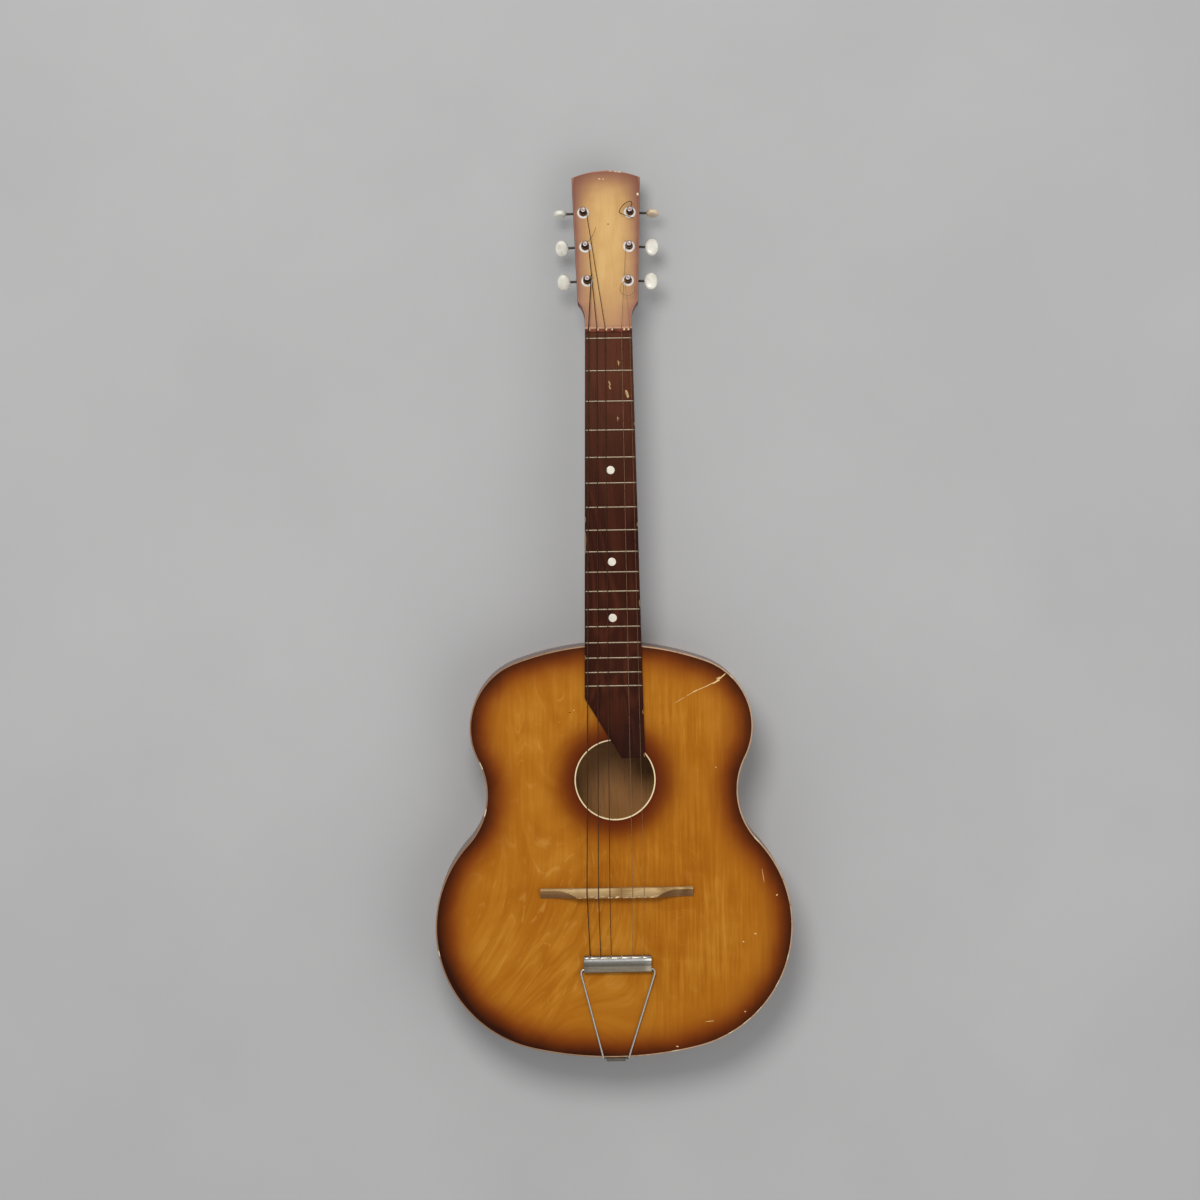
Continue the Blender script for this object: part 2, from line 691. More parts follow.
# ---- bridge and tailpiece ---------------------------------------------------------------
SCOOP_R = 60      # the ball that hollows the bridge's front at each end
WIRE_Y = BAR_Y - 14.2
WIRE_Z = BAR_Z + BAR_T / 2
HANG_Y = -BODY_L / 2 - WIRE_R - BRACKET_T - 0.1
OVER_Z = BODY_D + WIRE_R + 0.15
WIRE_BEND = 3.4
WIRE_TURN = 2.6
CHANNEL_FROM = 4.6
BALL_R = 1.9
BALL_Y = BAR_Y - CHANNEL_FROM - BALL_R - 0.1
BALL_Z = BAR_Z + BALL_R + 0.4


def ball_centre(a, b, c, r, up):
    """Centre of the ball of radius r through three points, on the side that up points to."""
    u = b - a
    v = c - a
    n = u.cross(v)
    m = a + (n.cross(u) * v.dot(v) + v.cross(n) * u.dot(u)) / (2 * n.dot(n))
    k = n.normalized() * math.sqrt(r * r - (m - a).length_squared)
    return m + k if k.dot(up) > 0 else m - k


def make_bridge():
    half = BRIDGE_L / 2
    wide = BRIDGE_W / 2
    flat = half - WING_L
    ball = ball_centre(Vector((flat - 2, -wide, BRIDGE_H)), Vector((half, wide - 2, WING_H)),
                       Vector((half, -wide, 1)), SCOOP_R, Vector((0, -1, 1)))
    slots = slots_across(BRIDGE_SPREAD, 0.12)
    stops = {-half, half, -half + 0.4, half - 0.4}
    stops |= {half * (i / 45 - 1) for i in range(1, 90)}
    for x, r in slots:
        stops |= {x - r - 0.1, x - r, x + r, x + r + 0.1}
    chips = random.Random(3)
    rings = []
    scooped = []
    for x in sorted(stops):
        out = abs(x)
        rise = BRIDGE_H if out < flat else WING_H + (BRIDGE_H - WING_H) * ((half - out) / WING_L) ** 1.5
        rise -= sum(0.75 for place, r in slots if abs(x - place) <= r + 0.01)
        if half - out < 0.3:
            rise -= 0.3

        def scoop(y):
            inside = SCOOP_R ** 2 - (ball.x - out) ** 2 - (y - ball.y) ** 2
            return ball.z - math.sqrt(inside) if inside > 0 else BRIDGE_H

        tries = [-wide + (2 * wide - 2) * k / 199 for k in range(200)]
        crest = max([y for y in tries if scoop(y) < rise], default=-wide)
        deep = crest > -wide + 0.05
        lip = chips.uniform(0.0, 0.5) if out < flat and chips.random() < 0.35 else 0.08
        start = crest if deep else -wide + lip
        ring = [(-wide, 0)]
        for k in range(7):
            y = -wide + (start + wide) * k / 7
            ring.append((y, max(0.6, scoop(y)) if deep else rise - lip * (1 - k / 7)))
        ring += [(start + (wide - 0.35 - start) * k / 4, rise) for k in range(5)]
        ring += [(wide, rise - 0.4), (wide, 0)]
        rings.append([(NECK_X + x, BRIDGE_Y + y, BODY_D + z) for y, z in ring])
        scooped += [0.6] + [1.0 if deep else 0.15] * 7 + [0.0] * 5 + [0.2, 0.5]
    shape = lofted(rings, marks={"scooped": scooped})
    piece("slipped_bridge", shape, "root", "bridge_wood", ("bridge",), 32)


def make_bar():
    nose = BAR_T / 2
    half = BAR_L / 2
    stops = [(-half, 0.4, 0), (-half + 0.15, 0.15, 0), (-half + 0.4, 0, 0)]
    for x, r in slots_across(TAIL_SPREAD, 0.25):
        stops += [(x - r - 0.05, 0, 0), (x - r, 0, 1), (x + r, 0, 1), (x + r + 0.05, 0, 0)]
    stops += [(half - 0.4, 0, 0), (half - 0.15, 0.15, 0), (half, 0.4, 0)]
    whole = []
    for i in range(17):
        a = math.radians(-90 + 180 * i / 16)
        whole.append((-nose + nose * math.cos(a), nose + nose * math.sin(a)))
    far = -CHANNEL_FROM - 4.4
    whole += [(-nose - 2.2, BAR_T), (-nose - 2.8, BAR_T - 0.1), (-nose - 3.2, BAR_T - 0.5),
              (-nose - 3.8, BAR_T - 0.75), (-BAR_W + 1.2, BAR_T - 0.75), (-BAR_W + 0.6, BAR_T - 0.9),
              (-BAR_W + 0.1, BAR_T - 1.4), (-BAR_W, BAR_T - 2), (-BAR_W, 0.3), (-BAR_W + 0.3, 0),
              (far, 0), (far, BAR_T - 1.5), (-CHANNEL_FROM, BAR_T - 1.5), (-CHANNEL_FROM, 0)]
    slotted = [(min(y, -2.2) if z > 1.4 else y, z) for y, z in whole]
    rings = []
    for x, shrink, slot in stops:
        narrow = 1 - shrink / 8.7
        thin = 1 - shrink / 3.2
        section = slotted if slot else whole
        rings.append([(NECK_X + x, BAR_Y - BAR_W / 2 + (y + BAR_W / 2) * narrow,
                       BAR_Z + nose + (z - nose) * thin) for y, z in section])
    piece("tail_bar", lofted(rings), "root", "bar_plate", ("tailpiece_bar",), 40)


def make_tail_wire():
    halves = []
    for s in (-1, 1):
        bent = ((-7.5, 0), (-0.6, 0), (0.9, -0.15), (2.1, -0.8), (2.8, -2), (3, -3.4), (2.85, -5))
        path = [(NECK_X + s * (BAR_L / 2 + x), WIRE_Y + y, WIRE_Z) for x, y in bent]
        for i in range(9):
            a = math.radians(90 * i / 8)
            path.append((s * WIRE_TAIL_X, HANG_Y + WIRE_BEND * (1 - math.sin(a)),
                         OVER_Z - WIRE_BEND * (1 - math.cos(a))))
        for i in range(7):
            a = math.radians(90 * i / 6)
            path.append((s * (WIRE_TAIL_X - WIRE_TURN * (1 - math.cos(a))), HANG_Y,
                         KNUCKLE_Z + WIRE_TURN * (1 - math.sin(a))))
        halves.append(path)
    shape = rod(halves[0] + halves[1][::-1], WIRE_R - 0.01, 14)
    piece("tail_wire", shape, "root", "dull_wire", ("tailpiece_wire",), 60)


def make_bracket():
    wide = BRACKET_W / 2
    high = KNUCKLE_Z - 3
    knuckle = WIRE_TAIL_X - 3.4
    flat = plate(round_corners(-wide, KNUCKLE_Z - 42, wide, high, 4.5, 6), 0, BRACKET_T - 0.05, 0.3)
    tongue = plate(round_corners(-knuckle + SOFT, high - 6, knuckle - SOFT, KNUCKLE_Z - 0.5, 0.3, 2), 0.05,
                   BRACKET_T - 0.1, 0.1)
    inner = WIRE_R + 0.08
    outer = inner + BRACKET_T
    roll = turned([(inner, -knuckle), (outer - 0.25, -knuckle), (outer, -knuckle + 0.25),
                   (outer, knuckle - 0.25), (outer - 0.25, knuckle), (inner, knuckle), (inner, -knuckle)])
    stand = shifted(0, -BODY_L / 2 - SOFT, 0) @ turned_by(90, "X")
    shape = (flat + tongue).moved(stand) + roll.moved(shifted(0, HANG_Y, KNUCKLE_Z) @ turned_by(90, "Y"))
    piece("tail_hinge_plate", shape, "root", "old_plate", ("tail_bracket",), 40)


# ---- machine heads ----------------------------------------------------------------------
LUG_FROM = 3.6
LUG_T = 1.2
LUG_HALF = 2.5
PLATE_Y0 = -POST_PITCH - 10
PLATE_Y1 = POST_PITCH + 18
PLATE_SCREW_YS = (PLATE_Y0 + 3.2, -POST_PITCH / 2 + 3, POST_PITCH / 2 + 3, PLATE_Y1 - 3.2)
GEAR_LOW = WORM_Z - GEAR_T / 2
GEAR_HIGH = WORM_Z + GEAR_T / 2
THREAD_PITCH = TURN * (GEAR_R - 0.5) / GEAR_TEETH
THREAD_TURNS = 3
# The strings' loose ends in each post's frame, and how thick each one looks beside its string
LOOSE_ENDS = (
    ((0, 0, 9), (-3.8, 2.4, 9), (-5.2, 3.6, 9.4)),
    ((0, 0, 9), (-3.2, 2.8, 9), (-6.6, 6.2, 9.4), (-9.4, 11, 9.8), (-12, 17.2, 10)),
    ((0, 0, 9), (-3.4, -2.8, 9), (-4.6, -4.2, 9.3)),
    ((0, 0, 9), (0.9, 3.8, 9), (1.9, 6.6, 9.4), (1.2, 8.1, 9.6), (-0.8, 8.3, 9.8), (-4.4, 6.6, 9.8),
     (-7.8, 3.2, 9.8), (-10.2, -1, 9.6), (-10.7, -2.8, 9.4), (-9.6, -4.1, 9.2), (-6.2, -5.4, 9),
     (-1, -7.2, 8.8), (4.2, -8.8, 8.6)),
    ((0, 0, 9), (-3.4, 2.2, 9), (-4.4, 3.2, 9.2)),
    ((0, 0, 9), (-3.2, -3.4, 9), (-6.2, -7, 9.3), (-7.9, -11.2, 9.6), (-7, -14.6, 9.8), (-4.2, -17.4, 10),
     (-0.4, -18.8, 10), (3.2, -18, 10), (5.8, -15.8, 9.8), (7, -12.2, 9.8), (6.9, -8.4, 9.6)))
LOOSE_THICK = (0.98, 0.5, 0.98, 1.4, 1.2, 1.6)


def lug():
    """One upright ear of a plate that carries a worm shaft, in the shaft's own frame."""
    stand = PLATE_Z - WORM_Z
    points = [(LUG_HALF, 0)]
    for a in range(-10, -180, -10):
        points.append((LUG_HALF * math.cos(math.radians(a)), LUG_HALF * math.sin(math.radians(a))))
    points += [(-LUG_HALF, 0), (-LUG_HALF - 0.25, stand - 0.3), (-LUG_HALF - 0.6, stand + SOFT),
               (LUG_HALF + 0.6, stand + SOFT), (LUG_HALF + 0.25, stand - 0.3)]
    return plate(points[::-1], 0, LUG_T, 0.15).moved(LYING)


def make_plates():
    loop = round_corners(-PLATE_W / 2, PLATE_Y0, PLATE_W / 2, PLATE_Y1, 4, 6)
    shape = plate(loop, PLATE_Z, -HEAD_T - 0.01, 0.3)
    for k in (-1, 0, 1):
        for x in (-LUG_FROM - LUG_T, LUG_FROM):
            shape = shape + lug().moved(shifted(x, k * POST_PITCH + WORM_GAP, WORM_Z))
    for side, name in ((-1, "bass"), (1, "treble")):
        piece("machine_plate_" + name, shape.moved(row_frame(side)), "root", "plated_steel",
              ("tuner_plate_" + name,), 35)


def post_shape():
    """A string peg with its seat for the gear and a waist where the string winds."""
    cap = POST_H
    shape = turned([
        (0, GEAR_LOW - 0.7), (1.6, GEAR_LOW - 0.7), (POST_R - 0.25, GEAR_LOW - 0.62),
        (POST_R, GEAR_LOW - 0.4), (POST_R, GEAR_LOW - 0.05), (2.2, GEAR_LOW - SOFT), (2.2, GEAR_HIGH + SOFT),
        (POST_R + 0.5, GEAR_HIGH + 0.05), (POST_R + 0.5, PLATE_Z - 0.15), (POST_R, PLATE_Z - 0.1),
        (POST_R, cap - 5.2), (POST_R - 0.35, cap - 4.7), (POST_R - 0.35, cap - 2.6), (POST_R, cap - 2.1),
        (POST_R, cap - 0.7), (POST_R - 0.25, cap - 0.2), (POST_R - 0.8, cap), (1.2, cap - 0.02),
        (0.7, cap - 0.35), (0, cap - 0.4)], 36)
    shape.marks = {"tip": [1.0 if p.z > cap - 0.5 and p.xy.length < 2.3 else 0.0 for p in shape.points]}
    return shape


def gear_shape():
    loop = []
    bore = []
    for k in range(GEAR_TEETH):
        a = math.pi / 2 + (k + 0.5) * TURN / GEAR_TEETH
        for off, cut in ((-5.4, 1.1), (-4.2, 0.5), (-2.6, 0.04), (2.6, 0.04), (4.2, 0.5), (5.4, 1.1)):
            r = GEAR_R - cut
            b = a + math.radians(off)
            loop.append((r * math.cos(b), r * math.sin(b)))
            bore.append((2.22 * math.cos(b), 2.22 * math.sin(b)))
    rings = []
    for outline, size, z in ((loop, 0.94, GEAR_LOW), (loop, 1, GEAR_LOW + 0.22), (loop, 1, GEAR_HIGH - 0.22),
                             (loop, 0.94, GEAR_HIGH), (bore, 1, GEAR_HIGH), (bore, 1, GEAR_LOW)):
        rings.append([(x * size, y * size, z) for x, y in outline])
    return lofted(rings, loop=True)


def button_shape():
    """An oval knob with a soft rim, lightly dished faces and a collar, in the shaft's frame."""
    a = BUTTON_L / 2
    rings = []
    for x, r in ((BUTTON_FROM + 0.02, 1.9), (BUTTON_FROM + 0.12, 2.2)):
        rings.append([(x, y, z) for y, z in circle(r, 40)])
    for i in range(22):
        u = math.sin((-0.93 + 1.93 * i / 21 if i < 21 else 0.999) * math.pi / 2)
        wide = max((BUTTON_W / 2) * (1 - abs(u) ** 2.15) ** (1 / 2.15), 0.25)
        thick = max((BUTTON_T / 2 - 0.75) * (1 - abs(u) ** 5) ** 0.4, 0.2)
        swell = 1 - u * u
        ring = []
        for cb, sb in circle(1, 40):
            y = wide * math.copysign(abs(cb) ** 0.8, cb)
            z = (thick + 0.55 * swell) * math.copysign(abs(sb) ** 0.62, sb)
            z *= 1 - 0.35 * swell * max(0, 1 - (y / max(wide, 0.3)) ** 2) / (BUTTON_T / 2)
            ring.append((BUTTON_FROM + a + (a - 0.02) * u, y, z))
        rings.append(ring)
    return lofted(rings)


def shaft_shape():
    start = -LUG_FROM - LUG_T - 1
    stop = BUTTON_FROM + BUTTON_L - 4
    return turned([(0, start), (SHAFT_R - 0.3, start), (SHAFT_R - 0.02, start + 0.3), (SHAFT_R - 0.02, stop),
                   (0, stop)], 24).moved(LYING)


def coil(finish, turns, radius, wire, height, sides, steps):
    """A wire wound round Z, with its sizes in millimetres."""
    return shape_of(grown_alone("coil", coil_tree, finish, {
        "Turns": float(turns), "Radius": radius * MM, "Wire": wire * MM, "Height": height * MM,
        "Sides": sides, "Steps": steps}))


def make_machines():
    knob = button_shape()
    # mirrored, so that the thread runs the way that the gear turns
    centre = shifted(-THREAD_PITCH * THREAD_TURNS / 2, 0, 0) @ LYING @ Matrix.Diagonal((1, -1, 1, 1))
    for i, name in enumerate(STRINGS):
        at = post_frame(i)
        shaft_at = at @ shifted(0, WORM_GAP, WORM_Z)
        finish = "beige_button" if i == 3 else "cream_button"
        piece("oval_knob_" + name, knob.moved(shaft_at @ turned_by(BUTTON_TURN[i], "X")), "knob_" + name,
              finish, ("button_" + name,), 60)
        thread = coil("dark_steel", THREAD_TURNS, 1.48, 0.3, THREAD_PITCH * THREAD_TURNS, 8, 20)
        shape = shaft_shape().moved(shaft_at) + thread.moved(shaft_at @ centre)
        piece("threaded_shaft_" + name, shape, "knob_" + name, "dark_steel",
              ("worm_" + name,), 40)
        piece("string_peg_" + name, post_shape().moved(at), "spindle_" + name, "peg_steel",
              ("post_" + name,), 35)
        piece("toothed_wheel_" + name, gear_shape().moved(at), "spindle_" + name, "gear_brass",
              ("gear_" + name,), 30)
        r = STRING_R[i]
        count = COIL_TURNS[i]
        wrap = coil("wound_string", count, POST_R + COIL_GAP + r, r * 0.99, 2 * r * (count - 0.99), 10, 32)
        tail = rod(flowing(LOOSE_ENDS[i], 7), r * LOOSE_THICK[i], 10)
        shape = wrap.moved(at @ shifted(0, 0, COIL_Z - r * count + r)) + tail.moved(at)
        finish = "wound_string" if i < 4 else "plain_string"
        piece("string_coil_" + name, shape, "spindle_" + name, finish, ("winding_" + name,), 60)


# ---- strings ----------------------------------------------------------------------------
def string_path(i):
    r = STRING_R[i]
    lie = BOARD_Z + 1.05 + r
    tail_x = string_x(i, *TAIL_SPREAD)
    nut_x = string_x(i, *NUT_SPREAD)
    in_r = POST_R + COIL_GAP
    out_r = in_r + 2 * r + 0.2
    end = post_frame(i) @ Vector((-in_r - r, -math.sqrt(out_r * out_r - in_r * in_r), COIL_Z))
    return rounded([(tail_x, BALL_Y + 1, BALL_Z + 0.4), (tail_x, BAR_Y - 1, BAR_Z + BAR_T / 2 + 0.6),
                    (string_x(i, *BRIDGE_SPREAD), BRIDGE_Y, BODY_D + BRIDGE_H - 0.4), (nut_x, ZERO_Y, lie),
                    (nut_x, HEAD_Y - 0.5, lie - 0.1), end], 4, 0.6)


def make_strings():
    for i, name in enumerate(STRINGS):
        if name == "g":
            continue
        ball = turned([(0.5, -1.6), (BALL_R - 0.3, -1.6), (BALL_R, -1.3), (BALL_R - 0.35, -0.5),
                       (BALL_R - 0.35, 0.5), (BALL_R, 1.3), (BALL_R - 0.3, 1.6), (0.5, 1.6), (0.5, -1.6)], 24)
        ball = ball.moved(shifted(string_x(i, *TAIL_SPREAD), BALL_Y, BALL_Z) @ turned_by(90, "Y"))
        shape = rod(string_path(i), STRING_R[i] * 0.99, 12) + ball
        finish = "wound_string" if i < 3 else "plain_string"
        piece("tight_string_" + name, shape, "root", finish, ("string_" + name,), 60)


# ---- node trees -------------------------------------------------------------------------
class Wire:
    """One output of a node; arithmetic on it lays math nodes."""

    def __init__(self, bench, socket):
        self.bench = bench
        self.socket = socket

    def __add__(self, other):
        return self.bench.math("ADD", self, other)

    def __sub__(self, other):
        return self.bench.math("SUBTRACT", self, other)

    def __rsub__(self, other):
        return self.bench.math("SUBTRACT", other, self)

    def __mul__(self, other):
        return self.bench.math("MULTIPLY", self, other)

    def __truediv__(self, other):
        return self.bench.math("DIVIDE", self, other)

    __radd__ = __add__
    __rmul__ = __mul__


def linear(r, g, b):
    """A screen colour of 0 to 255 as the scene's own linear colour."""
    levels = [((c / 255 + 0.055) / 1.055) ** 2.4 if c > 10 else c / 255 / 12.92 for c in (r, g, b)]
    return (*levels, 1.0)


def paint(colour):
    """What a colour socket takes: a wire as it is, a screen colour made linear."""
    return colour if isinstance(colour, Wire) else linear(*colour)


class Bench:
    """Short ways to lay nodes into a tree."""

    def __init__(self, tree):
        self.tree = tree

    def node(self, kind, *values, named=None, **settings):
        """A node; values fill its inputs in order, named fills them by name, and None leaves one alone."""
        node = self.tree.nodes.new(kind)
        for key, value in settings.items():
            setattr(node, key, value)
        for socket, value in zip(node.inputs, values):
            self.feed(socket, value)
        for key, value in (named or {}).items():
            self.feed(node.inputs[key], value)
        return node

    def add(self, kind, *values, key=0, **settings):
        """A node's output, for a node laid in the same way."""
        return Wire(self, self.node(kind, *values, **settings).outputs[key])

    def feed(self, socket, value):
        if isinstance(value, Wire):
            self.tree.links.new(value.socket, socket)
        elif value is not None:
            socket.default_value = value

    def math(self, op, a, b=None, clamp=False):
        return self.add("ShaderNodeMath", a, b, operation=op, use_clamp=clamp)

    def vector(self, op, a, b=None, key="Vector", **named):
        return self.add("ShaderNodeVectorMath", a, b, key=key, operation=op, named=named)

    def scaled(self, vector, sx, sy, sz):
        return self.vector("MULTIPLY", vector, (sx, sy, sz))

    def joined(self, x, y, z):
        return self.add("ShaderNodeCombineXYZ", x, y, z)

    def apart(self, vector):
        return [Wire(self, output) for output in self.node("ShaderNodeSeparateXYZ", vector).outputs]

    def noise(self, vector, scale, detail=2.0, rough=0.5, distortion=0.0):
        return self.add("ShaderNodeTexNoise", key="Fac", named={
            "Vector": vector, "Scale": scale, "Detail": detail, "Roughness": rough, "Distortion": distortion})

    def spread(self, value, low, high, to_low=0.0, to_high=1.0, kind="LINEAR"):
        return self.add("ShaderNodeMapRange", value, low, high, to_low, to_high, interpolation_type=kind,
                        clamp=True)

    def ramp(self, value, *stops):
        """Screen colours along a value: (place, r, g, b) each, or (place, level) for a mask."""
        node = self.node("ShaderNodeValToRGB", value)
        elements = node.color_ramp.elements
        while len(elements) < len(stops):
            elements.new(1.0)
        for element, (place, *shade) in zip(elements, stops):
            element.position = place
            element.color = linear(*shade) if len(shade) == 3 else (*shade * 3, 1)
        return Wire(self, node.outputs[0])

    def mix(self, amount, a, b):
        return self.add("ShaderNodeMix", amount, *[None] * 5, paint(a), paint(b), key=2, data_type="RGBA")

    def group(self, tree, **values):
        outputs = self.node("ShaderNodeGroup", node_tree=tree, named=values).outputs
        return {output.name: Wire(self, output) for output in outputs}

    def mark(self, name):
        return self.add("ShaderNodeAttribute", key="Fac", attribute_name=name)

    def ragged(self, place):
        """How much wider or narrower than its plain width a scratch is here."""
        return (self.noise(place, 900.0, 3.0, 0.7) - 0.5) * 1.8

    def scratches(self, place, marks, z, ragged=None):
        """One mask of all marks: from x, y to x, y at height z, and width, in millimetres."""
        total = 0.0
        for x0, y0, x1, y1, width in marks:
            mask = self.group(scratch_group, Vector=place, From=(x0 * MM, y0 * MM, z * MM),
                              To=(x1 * MM, y1 * MM, z * MM), Width=width * MM, Ragged=ragged)["Mask"]
            total = self.math("MAXIMUM", mask, total)
        return total


def new_tree(name, kind, takes, gives):
    """A tree with named inputs and outputs, (name, type, default) each: its bench, inputs and outputs."""
    tree = bpy.data.node_groups.new(name, kind)
    for in_out, sockets in (("INPUT", takes), ("OUTPUT", gives)):
        for label, socket, *value in sockets:
            made = tree.interface.new_socket(name=label, in_out=in_out, socket_type="NodeSocket" + socket)
            if value:
                made.default_value = value[0]
    bench = Bench(tree)
    given = {output.name: Wire(bench, output) for output in tree.nodes.new("NodeGroupInput").outputs}
    return bench, given, tree.nodes.new("NodeGroupOutput").inputs


def new_shape_tree(name, *takes):
    takes = [("Geometry", "Geometry"), *takes, ("Finish", "Material")]
    return new_tree(name, "GeometryNodeTree", takes, [("Geometry", "Geometry")])


def end_shape_tree(bench, made, given, out):
    real = bench.add("GeometryNodeRealizeInstances", made)
    finish = bench.add("GeometryNodeSetMaterial", named={"Geometry": real, "Material": given["Finish"]})
    bench.feed(out[0], finish)
    return bench.tree


def grown(obj, tree, values):
    """The object with the plain mesh that the tree makes of it, for the given named values."""
    modifier = obj.modifiers.new(obj.name, "NODES")
    modifier.node_group = tree
    for item in tree.interface.items_tree:
        if item.in_out == "INPUT" and item.name in values:
            modifier[item.identifier] = values[item.name]
    depsgraph = bpy.context.evaluated_depsgraph_get()
    made = obj.evaluated_get(depsgraph)
    mesh = bpy.data.meshes.new_from_object(made, preserve_all_data_layers=True, depsgraph=depsgraph)
    mesh.name = obj.name
    obj.modifiers.clear()
    obj.data = mesh
    return obj


def grown_alone(name, tree, finish, values):
    return grown(new_object(name, Shape([(0, 0, 0)])), tree, {"Finish": finishes[finish], **values})


def shape_of(obj):
    """The mesh of a helper object as a shape in millimetres; the helper is removed."""
    mesh = obj.data
    made = Shape([v.co / MM for v in mesh.vertices], [tuple(p.vertices) for p in mesh.polygons])
    made.marks = {"run": [0.0] * len(made.points)}
    bpy.data.objects.remove(obj)
    return made


def make_coil_tree():
    """A wire wound round Z: for the string windings and the worm threads."""
    bench, given, out = new_shape_tree(
        "wound_wire", ("Turns", "Float", 3.0), ("Radius", "Float", 0.003), ("Wire", "Float", 0.0005),
        ("Height", "Float", 0.003), ("Sides", "Int", 8), ("Steps", "Int", 24))
    spiral = bench.add("GeometryNodeCurveSpiral", named={
        "Resolution": given["Steps"], "Rotations": given["Turns"], "Start Radius": given["Radius"],
        "End Radius": given["Radius"], "Height": given["Height"]})
    circle = bench.add("GeometryNodeCurvePrimitiveCircle", mode="RADIUS",
                       named={"Resolution": given["Sides"], "Radius": given["Wire"]})
    wire = bench.add("GeometryNodeCurveToMesh",
                     named={"Curve": spiral, "Profile Curve": circle, "Fill Caps": True})
    return end_shape_tree(bench, wire, given, out)


def make_repeat_tree():
    """One part set on every point of the mesh, turned by the point's facing."""
    bench, given, out = new_shape_tree("set_on_points", ("Part", "Object"), ("Size", "Float", 1.0))
    part = bench.add("GeometryNodeObjectInfo", key="Geometry", named={"Object": given["Part"]})
    facing = bench.add("GeometryNodeInputNamedAttribute", data_type="FLOAT_VECTOR", named={"Name": "facing"})
    size = bench.joined(given["Size"], given["Size"], given["Size"])
    copies = bench.add("GeometryNodeInstanceOnPoints", named={
        "Points": given["Geometry"], "Instance": part, "Scale": size,
        "Rotation": bench.add("FunctionNodeEulerToRotation", facing)})
    return end_shape_tree(bench, copies, given, out)


def make_fret_tree():
    """Fret wires across a tapering board, closer together towards the bridge, with dressed ends."""
    bench, given, out = new_shape_tree(
        "fret_wires", ("Count", "Int", 17), ("Scale Length", "Float", 0.58), ("Half Width", "Float", 0.0238),
        ("Taper", "Float", 0.0315), ("Crown Width", "Float", 0.002), ("Crown Height", "Float", 0.001))
    twelfth = bench.add("GeometryNodeInputIndex") * -1.0 / 12.0
    gone = given["Scale Length"] * (1.0 - bench.math("POWER", 2.0, twelfth))
    row = bench.add("GeometryNodeMeshLine", named={"Count": given["Count"]})
    placed = bench.add("GeometryNodeSetPosition",
                       named={"Geometry": row, "Position": bench.joined(0.0, gone * -1.0, 0.0)})
    half = given["Half Width"] + gone * given["Taper"] * 0.5
    line = bench.add("GeometryNodeCurvePrimitiveLine", named={"Start": (-1, 0, 0), "End": (1, 0, 0)})
    across = bench.add("GeometryNodeInstanceOnPoints", named={
        "Points": placed, "Instance": line, "Scale": bench.joined(half, 1.0, 1.0)})
    real = bench.add("GeometryNodeRealizeInstances", across)
    finer = bench.add("GeometryNodeResampleCurve", named={"Curve": real, "Count": 48})
    part = bench.add("GeometryNodeSplineParameter", key="Factor")
    end = bench.math("MINIMUM", part, 1.0 - part) * 44.0
    ease = bench.math("POWER", bench.math("MINIMUM", end, 1.0), 0.5)
    swell = bench.add("GeometryNodeSetCurveRadius", named={"Curve": finer, "Radius": ease * 0.65 + 0.35})
    upright = bench.add("GeometryNodeSetCurveNormal", mode="Z_UP", named={"Curve": swell})
    circle = bench.add("GeometryNodeCurvePrimitiveCircle", mode="RADIUS",
                       named={"Resolution": 20, "Radius": 1.0})
    size = bench.joined(given["Crown Width"] * 0.5, given["Crown Height"], 1.0)
    crown = bench.add("GeometryNodeTransform", named={"Geometry": circle, "Scale": size})
    wire = bench.add("GeometryNodeCurveToMesh", named={
        "Curve": upright, "Profile Curve": crown, "Scale": bench.add("GeometryNodeInputRadius"),
        "Fill Caps": True})
    return end_shape_tree(bench, wire, given, out)


def repeated(name, part, frames, finish):
    """Copies of one small part on frames, as one plain mesh."""
    obj = new_object(name, Shape([m.translation for m in frames]))
    facing = obj.data.attributes.new("facing", "FLOAT_VECTOR", "POINT")
    for value, m in zip(facing.data, frames):
        value.vector = m.to_euler()
    helper = new_object(name + "_part", part)
    smoothed(helper, 30)
    grown(obj, repeat_tree, {"Part": helper, "Finish": finishes[finish]})
    bpy.data.objects.remove(helper)
    return obj


def proper(matrix):
    """The frame without its mirror image, for a part that has none of its own."""
    return matrix @ Matrix.Diagonal((-1, 1, 1, 1)) if matrix.determinant() < 0 else matrix


def screw_shape(r, length, under):
    """A slotted round-head wood screw: z = 0 is the wood's face and it goes in along +Z."""
    head = 1.72 * r
    top = -under - 1.25 * r
    floor = top + 0.55 * r
    profile = [(head * 0.35, top + 0.05), (head * 0.65, top + 0.2 * r), (head * 0.88, top + 0.5 * r),
               (head, -under - 0.35 * r), (head, -under - SOFT), (r * 0.98, -under),
               (r * 0.98, length - 2 * r), (0.12, length)]
    rings = [[(x, y, floor) for x, y in circle(0.02, 32)]]
    for radius, z in profile:
        slotted = z < -under - 0.3 * r
        slot = 0.26 * r if slotted else 0
        rings.append([(x, y, max(z, floor) if abs(y) < slot else z) for x, y in circle(radius, 32)])
    return lofted(rings)


